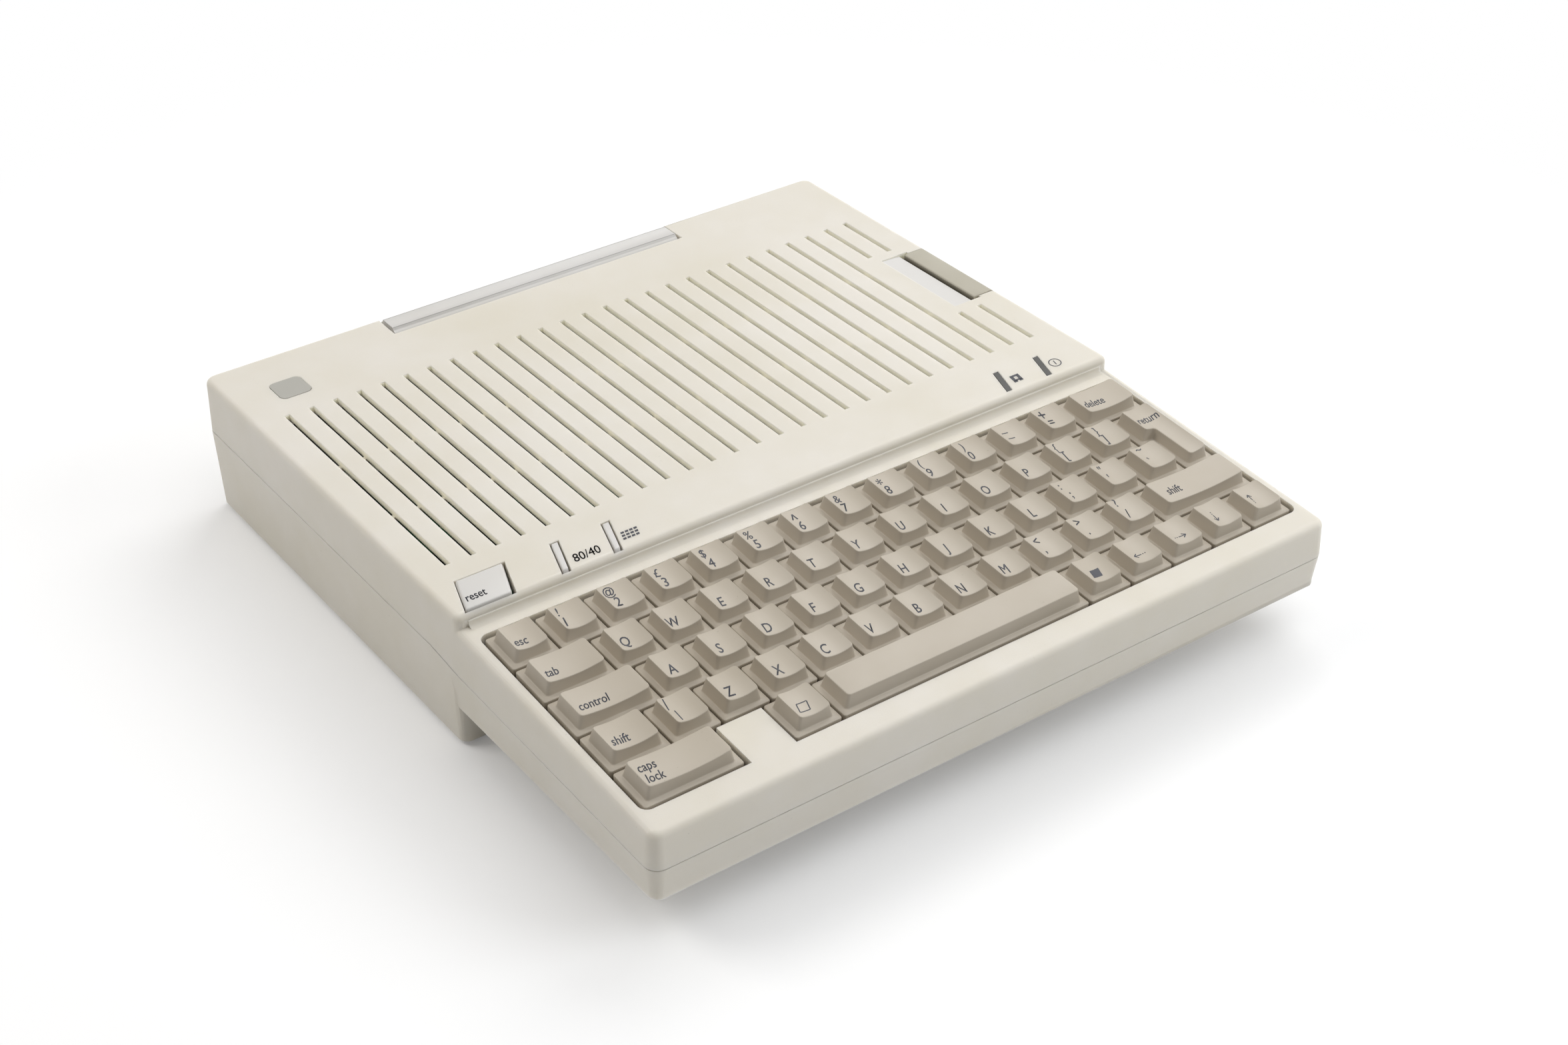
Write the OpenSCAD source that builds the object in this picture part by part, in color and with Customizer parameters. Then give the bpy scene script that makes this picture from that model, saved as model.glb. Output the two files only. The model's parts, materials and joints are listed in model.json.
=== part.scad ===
// Portable home computer of the early 1980s: a two-part moulded case with a built-in keyboard,
// a slot-loading 5.25 inch disk drive on the right side and a carrying handle at the rear.
// Millimetres, +Z up, +X to the user's right, +Y to the rear. The origin is the centre of the
// footprint on the table top.

/* [Case] */
// Width of the case at the seam
case_w = 288; // [286:1:300]
// Depth of the case at the seam, front to rear
case_d = 307; // [305:1:320]
// Height of the case from its bottom to the rear deck
case_h = 56; // [56:1:64]
// Thickness of the moulded walls
wall = 2.5; // [2:0.1:3]
// Radius of the upright corners
corner_r = 5; // [4:0.5:7]
// Radius of the rounded top edge
edge_r = 2.4; // [1.5:0.1:3]
// How far the upper case leans inward between the seam and the deck
upper_draft = 0.5; // [0.2:0.1:1.5]
// How far the lower case leans inward between the seam and the bottom
lower_draft = 1.4; // [0.5:0.1:2]
// Height of the seam above the case bottom, at the rear
seam_h = 34; // [33:0.5:36]
// How far the seam steps down where the keyboard begins
seam_step = 2; // [0:0.5:3]
// How far the seam falls from that step to the front
seam_fall = 3.2; // [1:0.2:4]
// Width of the groove along the seam
seam_gap = 0.5; // [0.3:0.1:0.8]
// Height of the thin front part's underside above the case bottom
front_floor_h = 16; // [15:0.5:17]
// Height of the rubber feet that the case stands on
foot_h = 1.5; // [1:0.5:3]
// Diameter of the rubber feet
foot_d = 14; // [10:1:18]

/* [Deck] */
// Distance from the rear face to the step between deck and keyboard
deck_d = 192.5; // [191:0.5:196]
// Drop from the deck to the keyboard surround
step_drop = 5.2; // [4.5:0.1:6]
// Forward slope of the keyboard surround, degrees
keys_slope = 4.05; // [3.5:0.05:4.6]
// Radius of the hollow at the foot of the step
cove_r = 2.5; // [1.5:0.1:3]
// Number of cooling slots
slot_n = 27; // [20:1:27]
// Spacing of the cooling slots
slot_pitch = 10; // [9:0.5:10]
// Width of one cooling slot
slot_w = 2.1; // [1.6:0.1:3]
// Length of the cooling slots
slot_len = 118.6; // [100:1:119]
// Distance from the rear face to the rear ends of the slots
slot_rear = 44.8; // [42:0.5:46]
// Depth of the two ribs that cross under the slots
rib_h = 2; // [1:0.5:3]
// Side of the plain badge near the rear left corner
badge_s = 13; // [10:1:15]
// Thickness of the badge
badge_t = 1; // [0.6:0.1:1.4]

/* [Keyboard] */
// Spacing of the keys
key_u = 19.05; // [18.5:0.05:19.2]
// Gap between neighbouring key skirts
key_gap = 0.9; // [0.7:0.1:1.4]
// Clearance between the key block and its opening
block_gap = 1.3; // [1:0.1:1.8]
// Distance from the step to the first row of keys, along the slope
block_rear = 7.1; // [6.8:0.1:7.6]
// Height of a key's front corner above the surround
key_top = 4.7; // [4:0.1:6]
// Depth of the key skirt's ledge below the surround
skirt_drop = 0.6; // [0.4:0.1:1.2]
// Height of the key skirt
skirt_h = 3.4; // [2.5:0.1:4]
// Depth of the hollow across a key top
dish_h = 1.1; // [0.5:0.1:1.5]
// Inset of the key top from the cell, left and right
top_side = 3.3; // [3:0.1:4]
// Inset of the key top from the cell, front
top_front = 3.1; // [2.8:0.1:4]
// Inset of the key top from the cell, rear
top_rear = 1.4; // [1.3:0.1:2]
// Travel of a key
key_travel = 3.5; // [2.5:0.1:4]
// Side of the switch housings
switch_s = 13.6; // [12:0.2:15]
// Height of the switch housings above the plate
switch_h = 6; // [5:0.1:6.4]
// Thickness of the steel plate under the switches
plate_t = 1.2; // [1:0.1:2]
// Thickness of all printed circuit boards
board_t = 1.6; // [1.2:0.1:2]

/* [Buttons] */
// Width of the reset key's opening
reset_w = 19.8; // [18:0.1:20]
// Front to rear size of the openings before the keyboard
button_d = 17.7; // [16:0.1:17.8]
// Width of the two switch buttons' openings
button_w = 3.8; // [3.4:0.1:5]
// Distance of the openings' rear edges from the step
button_rear = 19.3; // [19:0.1:19.6]
// Slant of the openings and of the lamps, degrees
slant = 18.4; // [12:0.2:20]
// Clearance round the buttons
button_gap = 0.4; // [0.3:0.05:0.6]
// Travel of the buttons
button_travel = 2; // [1:0.1:2.5]
// Width of the indicator lamps
lamp_w = 2.5; // [2:0.1:3]
// Length of the indicator lamps, front to rear
lamp_d = 13.3; // [10:0.1:14]

/* [Drive] */
// Distance from the rear face to the middle of the drive
drive_rear = 103.75; // [103:0.25:104.5]
// Length of the disk slot
disk_slot_w = 137; // [136:0.5:138]
// Height of the disk slot
disk_slot_h = 4.9; // [4.5:0.1:5.2]
// Length of the drive's latch door
latch_w = 44; // [42:0.5:46]
// Clearance round the latch door
latch_gap = 0.4; // [0.3:0.1:0.8]
// Outer width of the drive chassis, front to rear
chassis_w = 142; // [141.5:0.5:143]
// Thickness of the chassis's side walls
chassis_t = 2.4; // [2:0.1:3]
// Travel of the head carriage
head_travel = 18.5; // [16:0.5:19]
// Diameter of the drive motor's rotor
rotor_d = 62; // [50:1:70]
// Radius of the stepper's band pulley
pulley_r = 7; // [5:0.5:8]

/* [Rear] */
// Width of the handle's notch in the rear edge
notch_w = 136; // [130:1:140]
// Depth of the handle's notch, front to rear
notch_d = 14.8; // [13:0.1:16]
// Depth of the notch below the deck
notch_h = 11.4; // [10.5:0.1:13]
// Clearance round the handle
handle_gap = 0.5; // [0.3:0.1:1]
// Width of the handle's arms
arm_w = 7; // [6:0.5:8]
// Distance from the top of the handle's bar to its pivots
arm_l = 40; // [38:0.5:42]
// Diameter of the handle's pivot pins
pivot_d = 4; // [3:0.5:5]
// Height of the ports' centres above the logic board
port_h = 8.5; // [8:0.1:9.5]

/* [Hidden] */
$fn = 48;
e = 0.02;
fit = 0.05;
seat = 0.3;
hull_fn = 32;

// --- heights and stations of the case ---
rear_y = case_d / 2;
front_y = -case_d / 2;
side_x = case_w / 2;
base_z = foot_h;
deck_z = foot_h + case_h;
step_y = rear_y - deck_d;
step_z = deck_z - step_drop;
seam_z = base_z + seam_h;
belly_y = step_y + corner_r / 2;
shelf_z = base_z + front_floor_h;
inner_x = side_x - wall - upper_draft;
inner_rear = rear_y - wall - upper_draft;
inner_front = front_y + wall + upper_draft;
floor_z = base_z + wall;
shelf_floor_z = shelf_z + wall;
step_r = upper_draft + edge_r + 0.3;

// Height of the keyboard surround at a distance y from the middle
function surround_at(y) = step_z + (y - step_y) * tan(keys_slope);

// Height of the seam line at a distance y from the middle; it steps down over a run
seam_run = 19;
function seam_at(y) = y > step_y + seam_run ? seam_z
    : y > step_y ? seam_z - seam_step * (step_y + seam_run - y) / seam_run
    : seam_z - seam_step - seam_fall * (step_y - y) / (step_y - front_y);

// Outline of what lies above the seam, seen from the side, moved up by dz
function above_seam(dz) = [[rear_y + 20, seam_at(rear_y) + dz], [step_y + seam_run, seam_z + dz],
    [step_y, seam_at(step_y) + dz],
    [front_y - 20, seam_at(front_y) - 20 * seam_fall / (step_y - front_y) + dz],
    [front_y - 20, deck_z + 40], [rear_y + 20, deck_z + 40]];

// --- case shapes ---
// Upright corner post with a leaning side and a rounded top, outer corner at x, y
module top_post(sx, y, sy, r, top) {
    translate([sx * (side_x - r), y - sy * r, 0])
        rotate_extrude($fn = hull_fn)
            polygon(concat([[0, seam_z - 12], [r, seam_z - 12], [r, seam_z - 4]],
                [for (a = [0:15:90]) [r - upper_draft - edge_r * (1 - cos(a)), top - edge_r * (1 - sin(a))]],
                [[0, top]]));
}

// Lower corner post that leans inward to the bottom
module low_post(sx, y, sy, bottom, top) {
    r = corner_r;
    translate([sx * (side_x - r), y - sy * r, 0])
        rotate_extrude($fn = hull_fn)
            polygon([[0, bottom], [r - lower_draft - 0.6, bottom], [r - lower_draft, bottom + 0.6],
                [r, top], [0, top]]);
}

// Solid block under the deck and the keyboard surround, down past the seam
module upper_block() {
    hull()
        for (sx = [-1, 1]) {
            top_post(sx, rear_y, 1, corner_r, deck_z);
            top_post(sx, step_y, -1, step_r, deck_z);
        }
    hull()
        for (sx = [-1, 1]) {
            top_post(sx, front_y, -1, corner_r, surround_at(front_y + upper_draft + edge_r));
            top_post(sx, step_y + 10, 1, corner_r,
                surround_at(step_y + 10 - 2 * corner_r + upper_draft + edge_r));
        }
}

// Solid block below the seam: the deep rear part and the thin front part
module lower_block() {
    hull()
        for (sx = [-1, 1]) {
            low_post(sx, rear_y, 1, base_z, seam_z);
            low_post(sx, belly_y, -1, base_z, seam_z);
        }
    hull()
        for (sx = [-1, 1]) {
            low_post(sx, front_y, -1, shelf_z, seam_at(front_y));
            low_post(sx, step_y + 30, 1, shelf_z, seam_z);
        }
}

// Everything above the seam, as a slab to cut with
module above(dz) {
    translate([-case_w, 0, 0]) rotate([90, 0, 90]) linear_extrude(2 * case_w) polygon(above_seam(dz));
}

// Rounded rectangle between two corners
module pad(x0, y0, x1, y1, r) {
    translate([x0 + r, y0]) square([x1 - x0 - 2 * r, y1 - y0]);
    translate([x0, y0 + r]) square([x1 - x0, y1 - y0 - 2 * r]);
    for (x = [x0 + r, x1 - r], y = [y0 + r, y1 - r]) translate([x, y]) circle(r);
}

// Slanted opening: rear left corner at x, y, width w, front to rear size d
module slanted(x, y, w, d) {
    polygon([[x, y], [x + w, y], [x + w - d * tan(slant), y - d], [x - d * tan(slant), y - d]]);
}

// Moves its children into the plane of the keyboard surround, +Z square to it
module on_surround() {
    translate([0, step_y, step_z]) rotate([keys_slope, 0, 0]) children();
}

// --- keyboard layout ---
row_n = 5;
row_w = 14.5;
block_w = row_w * key_u;
block_d = row_n * key_u;
block_x = -block_w / 2;
// Rows of ordinary keys: first cell of each row
row_first = [1, 1.5, 1.75, 1.25];
opening_r = 3.5;
skirt_z = -skirt_drop - skirt_h;
plate_z = skirt_z - key_travel - seat - switch_h;
stem_s = 5;
stem_z = plate_z + seat + key_travel;
body_rise = key_top + skirt_drop;

// Inset of a key's body from its cell, at the sides and at the rear
base_in = 1.5;
base_rear = 1;
// Depth of the hollow along the space bar
bar_dish = 0.3;

// Block w0 by d0 that narrows to w1 by d1 at height h, the top moved in by dx and dy
module frustum(w0, d0, w1, d1, dx, dy, h) {
    intersection() {
        translate([0, d0, 0]) rotate([90, 0, 0]) linear_extrude(d0)
            polygon([[0, 0], [w0, 0], [dx + w1, h], [dx, h]]);
        rotate([90, 0, 90]) linear_extrude(w0)
            polygon([[0, 0], [d0, 0], [dy + d1, h], [dy, h]]);
    }
}

// Key cap w cells wide and n rows deep, hollow on top; origin at its cell's rear left corner
module cap(w, n = 1, hollow = dish_h) {
    cw = w * key_u;
    cd = n * key_u;
    tw = cw - 2 * top_side;
    td = cd - top_front - top_rear;
    dish_r = ((tw / 2) * (tw / 2) + hollow * hollow) / (2 * hollow);
    translate([key_gap / 2, -cd + key_gap / 2, skirt_z])
        cube([cw - key_gap, cd - key_gap, skirt_h]);
    difference() {
        translate([base_in, base_in - cd, -skirt_drop - e])
            frustum(cw - 2 * base_in, cd - base_in - base_rear, tw, td, top_side - base_in,
                top_front - base_in, body_rise + e);
        translate([cw / 2, 1, key_top + dish_r - hollow]) rotate([90, 0, 0])
            cylinder(r = dish_r, h = cd + 2, $fn = 96);
    }
}

// Square foot of a key that slides in its switch
module stem(x, y) {
    translate([x - stem_s / 2, y - stem_s / 2, stem_z]) cube([stem_s, stem_s, skirt_z - stem_z + e]);
}

// Key at a cell of the block: first cell c, row r, width w, depth of its hollow
module key(c, r, w, hollow = dish_h) {
    on_surround() translate([block_x + c * key_u, -block_rear - r * key_u, 0]) {
        cap(w, 1, hollow);
        stem(w * key_u / 2, -key_u / 2);
    }
}

cap_colour = "#b9b09f";
case_colour = "#dedad0";
button_colour = "#eceae6";
board_colour = "#3f6b45";
steel_colour = "#a8abab";
dark_colour = "#2e2e30";

module key_esc() { color(cap_colour) key(0, 0, 1); }
module key_tab() { color(cap_colour) key(0, 1, 1.5); }
module key_control() { color(cap_colour) key(0, 2, 1.75); }
module key_left_shift() { color(cap_colour) key(0, 3, 1.25); }
module key_caps_lock() { color(cap_colour) key(0, 4, 2); }
module key_delete() { color(cap_colour) key(13, 0, 1.5); }
module key_right_shift() { color(cap_colour) key(12.25, 3, 2.25); }
module key_open_marker() { color(cap_colour) key(3, 4, 1); }
module space_bar() { color(cap_colour) key(4, 4, 5.5, bar_dish); }
module key_solid_marker() { color(cap_colour) key(9.5, 4, 1); }
module key_left_arrow() { color(cap_colour) key(10.5, 4, 1); }
module key_right_arrow() { color(cap_colour) key(11.5, 4, 1); }
module key_down_arrow() { color(cap_colour) key(12.5, 4, 1); }
module key_up_arrow() { color(cap_colour) key(13.5, 4, 1); }

// The return key: one cell of the second row joined to a narrower cell of the third
module key_return() {
    color(cap_colour)
        on_surround() translate([block_x + 13.5 * key_u, -block_rear - key_u, 0]) {
            cap(1);
            translate([0.25 * key_u, 0, 0]) cap(0.75, 2);
            stem(key_u / 2, -key_u / 2);
        }
}

// Column i of the ordinary keys, from the number row down
module keys_column(i) {
    color(cap_colour)
        for (r = [0:3])
            if (i < 12 || r < 3)
                key(row_first[r] + i - 1, r, 1);
}
module keys_column_1() { keys_column(1); }
module keys_column_2() { keys_column(2); }
module keys_column_3() { keys_column(3); }
module keys_column_4() { keys_column(4); }
module keys_column_5() { keys_column(5); }
module keys_column_6() { keys_column(6); }
module keys_column_7() { keys_column(7); }
module keys_column_8() { keys_column(8); }
module keys_column_9() { keys_column(9); }
module keys_column_10() { keys_column(10); }
module keys_column_11() { keys_column(11); }
module keys_column_12() { keys_column(12); }

// Cells that carry a switch: first cell, row, width
switch_cells = concat(
    [for (r = [0:3]) for (i = [1:(r < 3 ? 12 : 11)]) [row_first[r] + i - 1, r, 1]],
    [[0, 0, 1], [0, 1, 1.5], [0, 2, 1.75], [0, 3, 1.25], [0, 4, 2], [13, 0, 1.5], [13.5, 1, 1],
     [12.25, 3, 2.25], [3, 4, 1], [4, 4, 5.5], [9.5, 4, 1]],
    [for (i = [10.5:13.5]) [i, 4, 1]]);

// --- buttons before the keyboard: the reset key and two switches ---
reset_x = -side_x + 10.7;
column_x = reset_x + 37.5;
keyboard_x = reset_x + 58.3;
buttons = [[reset_x, reset_w], [column_x, button_w], [keyboard_x, button_w]];
button_y = step_y + button_rear;
// Width and height of the lips under the openings of buttons and keys
lip = 1.2;
lip_h = 2.5;
button_stem = 3.6;
button_lift = 0.6;
button_body_h = 7;
button_body_s = 8;
// Centre of a slanted button of width w whose rear left corner is at x, in the surround's plane
function button_cx(x, w) = x + w / 2 - button_d * tan(slant) / 2;
button_ly = (button_rear - button_d / 2) / cos(keys_slope);

button_stem_z = plate_z + seat + button_travel;
button_skirt = 3.5;
button_stem_top = -1.2;

// Slanted button with a square foot that slides in its switch
module button(x, w) {
    g = button_gap;
    color(button_colour) {
        translate([0, 0, deck_z - wall - button_skirt]) linear_extrude(wall + button_skirt + button_lift)
            slanted(x + g - g * tan(slant), button_y - g, w - 2 * g, button_d - 2 * g);
        on_surround()
            translate([button_cx(x, w) - button_stem / 2, button_ly - button_stem / 2, button_stem_z])
                cube([button_stem, button_stem, button_stem_top - button_stem_z]);
    }
}

module reset_key() { button(reset_x, reset_w); }
module column_switch() { button(column_x, button_w); }
module keyboard_switch() { button(keyboard_x, button_w); }

// --- lamps and badge ---
lamp_x = [side_x - 44.2, side_x - 24.5];
lamp_y = step_y + 16.7;
lamp_gap = 0.1;
lamp_rim = 0.8;
lamp_base_h = 2;

module indicator_lamps() {
    color("#26261f")
        for (x = lamp_x) {
            translate([0, 0, deck_z - wall - e]) linear_extrude(wall + e - lamp_gap)
                slanted(x + lamp_gap, lamp_y - lamp_gap, lamp_w - 2 * lamp_gap, lamp_d - 2 * lamp_gap);
            translate([0, 0, deck_z - wall - lamp_base_h]) linear_extrude(lamp_base_h)
                slanted(x - lamp_rim, lamp_y + lamp_rim, lamp_w + 2 * lamp_rim, lamp_d + 2 * lamp_rim);
        }
}

badge_x = -side_x + 24.2;
badge_y = rear_y - 27.5;
badge_r = 2.5;
module badge_shape(s) { translate([badge_x, badge_y]) pad(-s / 2, -s / 2, s / 2, s / 2, badge_r); }
module badge_inlay() {
    color("#a9a7a0") translate([0, 0, deck_z - badge_t]) linear_extrude(badge_t)
        badge_shape(badge_s - 2 * lamp_gap);
}

// --- places shared by the two halves of the case ---
boss_r = 4.4;
screw_r = 1.5;
head_r = 2.75;
head_h = 2.2;
boss_in = boss_r - 1.2;
front_screw_x = side_x - 54;
boss_at = concat(
    [for (sx = [-1, 1]) [sx * (inner_x - boss_in), inner_rear - boss_in]],
    [for (sx = [-1, 1]) [sx * (inner_x - boss_in), step_y + 10]],
    [for (sx = [-1, 1]) [sx * front_screw_x, inner_front + boss_in]]);
screw_up = 8;
screw_down = 6;

arm_y = rear_y - lower_draft;
arm_t = 5.4;
arm_x = notch_w / 2 - 2 * handle_gap;
pivot_y = arm_y - arm_t / 2;
handle_z = deck_z - 0.4;
pivot_z = handle_z - arm_l;
channel_x0 = arm_x - arm_w - handle_gap;
channel_x1 = arm_x + handle_gap;
channel_y = arm_y - arm_t - 0.8;
block_t = 2;

// Solid behind the channel of one handle arm, between two heights
module arm_block(z0, z1) {
    for (sx = [-1, 1]) {
        x = sx > 0 ? channel_x0 - block_t : -channel_x1 - block_t;
        translate([x, channel_y - block_t, z0])
            cube([channel_x1 - channel_x0 + 2 * block_t, inner_rear + 0.3 - channel_y + block_t, z1 - z0]);
    }
}
module arm_channels(z0, z1) {
    for (sx = [-1, 1])
        translate([sx > 0 ? channel_x0 : -channel_x1, channel_y, z0])
            cube([channel_x1 - channel_x0, 20, z1 - z0]);
}

// Space inside the closed case, grown by g into its walls
module cavity(g = 0) {
    w = wall - g;
    top = deck_z - w;
    far = inner_front - 9;
    shelf = shelf_floor_z - g;
    bottom = floor_z - g;
    intersection() {
        translate([0, 0, base_z]) linear_extrude(case_h)
            pad(-inner_x - g, inner_front - g, inner_x + g, inner_rear + g, corner_r - wall);
        translate([-case_w, 0, 0]) rotate([90, 0, 90]) linear_extrude(2 * case_w)
            polygon([[inner_rear + 9, bottom], [inner_rear + 9, top], [step_y + w, top],
                [step_y + w, surround_at(step_y + wall) - w], [far, surround_at(far) - w],
                [far, shelf], [belly_y + w, shelf], [belly_y + w, bottom]]);
    }
}

// --- drive places ---
drive_y = rear_y - drive_rear;
disk_z = deck_z - 20;
latch_x = side_x - 11.2;
latch_axis = [side_x - 7.5, deck_z - 6];
latch_pin = 3;
recess_x = side_x - 22.2;
recess_y = latch_w / 2 + 1.4;
pocket_z = deck_z - 13;

// Opening of the keyboard, in the surround's plane
module keys_outline() {
    x = block_w / 2 + block_gap;
    difference() {
        pad(-x, -block_rear - block_d - block_gap, x, -block_rear + block_gap, opening_r);
        translate([block_x + 2 * key_u + key_gap, -block_rear - block_d - 9])
            square([key_u - 2 * key_gap, key_u + 9 - block_gap]);
    }
}

// --- top case ---
module top_case() {
    color(case_colour) difference() {
        union() {
            difference() {
                intersection() { upper_block(); above(0); }
                cavity();
            }
            top_case_inside();
            // hollow at the foot of the step
            translate([-side_x + corner_r, step_y, step_z]) rotate([90, 0, 90])
                linear_extrude(2 * (side_x - corner_r)) difference() {
                    translate([-cove_r, -cove_r / 2]) square([cove_r + upper_draft, 1.5 * cove_r]);
                    translate([-cove_r, cove_r * (1 - sin(keys_slope))]) circle(cove_r);
                }
        }
        cooling_slots();
        on_surround() translate([0, 0, -12]) linear_extrude(20) keys_outline();
        translate([0, 0, deck_z - wall - button_skirt - button_travel - seat]) linear_extrude(20)
            for (b = buttons) slanted(b[0], button_y, b[1], button_d);
        translate([0, 0, deck_z - wall - e]) linear_extrude(20)
            for (x = lamp_x) slanted(x, lamp_y, lamp_w, lamp_d);
        translate([0, 0, deck_z - badge_t]) linear_extrude(9) badge_shape(badge_s);
        // notch and channels of the handle
        translate([-notch_w / 2, rear_y - notch_d, deck_z - notch_h]) cube([notch_w, 30, 30]);
        arm_channels(seam_z - 9, deck_z - notch_h + e);
        // finger recess, latch door and disk slot
        finger_recess();
        translate([latch_x - latch_gap, drive_y - latch_w / 2 - latch_gap, seam_z - 9])
            cube([40, latch_w + 2 * latch_gap, 60]);
        translate([latch_axis[0], drive_y, latch_axis[1]]) rotate([90, 0, 0])
            cylinder(d = latch_pin + 2 * fit, h = latch_w + 8, center = true);
        translate([inner_x - 9, drive_y - disk_slot_w / 2, seam_z - 9])
            cube([40, disk_slot_w, disk_slot_h + 9]);
        for (p = boss_at)
            translate([p[0], p[1], seam_at(p[1]) - 1]) cylinder(r = screw_r + fit, h = screw_up + 2);
    }
}

// Cooling slots; the last two are broken by the drive's recess
module cooling_slots() {
    y1 = rear_y - slot_rear;
    y0 = y1 - slot_len;
    clear = recess_y + 5;
    translate([0, 0, deck_z - wall - e]) linear_extrude(wall + 5)
        for (i = [0:slot_n - 1]) {
            x = (i - (slot_n - 1) / 2) * slot_pitch - slot_w / 2;
            if (x < recess_x - 4)
                translate([x, y0]) square([slot_w, slot_len]);
            else {
                translate([x, y0]) square([slot_w, drive_y - clear - y0]);
                translate([x, drive_y + clear]) square([slot_w, y1 - drive_y - clear]);
            }
        }
}

module finger_recess() {
    translate([0, drive_y + recess_y, deck_z]) rotate([90, 0, 0]) linear_extrude(2 * recess_y)
        polygon([[recess_x, 9], [recess_x, -0.4], [recess_x + 3, -1.2], [recess_x + 7, -3.4],
            [latch_x - latch_gap, -9], [latch_x + 2, -9], [latch_x + 2, 9]]);
}

// Ribs, bosses and pockets on the inside of the top case
module top_case_inside() {
    y1 = rear_y - slot_rear;
    for (k = [1, 2])
        translate([-inner_x - e, y1 - slot_len * k / 3 - 0.8, deck_z - wall - rib_h])
            cube([recess_x - 4 + inner_x, 1.6, rib_h + e]);
    intersection() {
        union() {
            for (p = boss_at)
                translate([p[0], p[1], seam_at(p[1]) - boss_in]) cylinder(r = boss_r, h = deck_z);
            on_surround() translate([0, 0, -wall - 1.4 * lip_h]) linear_extrude(wall / 2 + 1.4 * lip_h)
                difference() { keys_rim(); keys_outline(); }
        }
        cavity(0.6);
        above(0);
    }
    translate([0, 0, deck_z - wall - lip_h]) linear_extrude(lip_h + e)
        for (b = buttons)
            slanted(b[0] - lip, button_y + lip, b[1] + 2 * lip, button_d + 2 * lip);
    // pocket of the handle's bar
    translate([-notch_w / 2 - block_t, rear_y - notch_d - block_t, deck_z - notch_h - block_t])
        cube([notch_w + 2 * block_t, inner_rear - rear_y + notch_d + block_t + e,
            notch_h + block_t - wall + e]);
    arm_block(seam_z, deck_z - notch_h);
    // pocket of the latch door
    translate([recess_x - block_t, drive_y - recess_y - block_t, pocket_z])
        cube([inner_x + e - recess_x + block_t, 2 * (recess_y + block_t), deck_z - wall + e - pocket_z]);
}

module keys_rim() {
    x = block_w / 2 + block_gap + lip;
    pad(-x, -block_rear - block_d - block_gap - lip, x, -block_rear + block_gap + lip, opening_r);
}

// --- ports on the rear, seen from above: centre of each ---
board_z = floor_z + 4;
board_top = board_z + board_t;
port_z = board_top + port_h;
switch_x = -side_x + 22;
inlet_x = -side_x + 42.5;
serial_x = [-1, 1] * (notch_w / 2 + 14);
disk_port_x = -30;
video_x = 4;
display_x = 33;
games_x = side_x - 32;
panel_x = side_x - 10;
socket_depth = 13;
panel_h = 21;
socket_y = inner_rear - seat;
panel_t = 1;
panel_y = inner_rear + panel_t;
din_r = 7.2;
din_w = 18;
pin_u = 2.77;
pin_ring = 4.4;
nose = panel_y - socket_y + 0.3;

// Outline of a D-shaped plug opening with shell width w, grown by g
module d_shape(w, g) {
    h = 4.3 + g;
    polygon([[-w / 2 - g, h], [w / 2 + g, h], [w / 2 + g - 1.4, -h], [-w / 2 - g + 1.4, -h]]);
}

// Moves a rear-wall outline to x at port height, extruded d backwards from y
module at_port(x, y, d) {
    translate([x, y, port_z]) rotate([90, 0, 180]) linear_extrude(d) children();
}

// Screen of data ports: position and shell width
data_ports = [[disk_port_x, 40], [display_x, 26], [games_x, 18]];

module data_sockets() {
    color(steel_colour)
        for (p = data_ports) difference() {
            union() {
                at_port(p[0], socket_y - e, nose + e) d_shape(p[1], 0);
                translate([p[0] - p[1] / 2 - 5, socket_y - socket_depth, board_top])
                    cube([p[1] + 10, socket_depth, 2 * port_h - 1]);
            }
            n = floor((p[1] - 6) / pin_u);
            for (i = [0:n - 1], s = [-1, 1])
                translate([p[0] + (i - (n - 1) / 2 + (s > 0 ? 0 : 0.25)) * pin_u, socket_y - 4,
                    port_z + s * pin_u / 2]) rotate([-90, 0, 0]) cylinder(r = 0.6, h = 9);
        }
}

module round_socket(x, pins) {
    difference() {
        union() {
            translate([x, socket_y - 1, port_z]) rotate([-90, 0, 0]) cylinder(r = din_r, h = nose + 1);
            translate([x - din_w / 2, socket_y - socket_depth, board_top])
                cube([din_w, socket_depth, 2 * port_h - 1]);
        }
        for (i = [0:pins - 1])
            translate([x, socket_y - 4, port_z - 1]) rotate([-90, -180 * i / (pins - 1), 0])
                translate([pin_ring, 0, 0]) cylinder(r = 0.75, h = 12);
    }
}
module serial_sockets() { color(dark_colour) for (x = serial_x) round_socket(x, 5); }
module power_inlet() { color(dark_colour) round_socket(inlet_x, 7); }

module video_jack() {
    color("#b5b2a6") difference() {
        union() {
            translate([video_x, socket_y - 1, port_z]) rotate([-90, 0, 0]) cylinder(r = 4.15, h = nose + 2.5);
            translate([video_x - 5.5, socket_y - 10, board_top]) cube([11, 10, 2 * port_h - 2]);
        }
        translate([video_x, socket_y - 8, port_z]) rotate([-90, 0, 0]) cylinder(r = 1.7, h = 20);
    }
}

// Rocker of the power switch, on its pin
rocker_w = 11;
rocker_h = 17;
rocker_pin = 3;
rocker_y = socket_y - 2.5;
module power_switch() {
    color(dark_colour) translate([switch_x, rocker_y, port_z]) {
        rotate([90, 0, 90]) linear_extrude(rocker_w, center = true)
            polygon([[-2, -rocker_h / 2 + 3], [2.1, -rocker_h / 2 + 0.6], [3.7, -rocker_h / 2 + 0.4],
                [2.9, 0], [1.7, rocker_h / 2 - 0.8], [-2, rocker_h / 2 - 3]]);
        rotate([0, 90, 0]) cylinder(d = rocker_pin, h = rocker_w + 2.6, center = true);
    }
}
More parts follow.
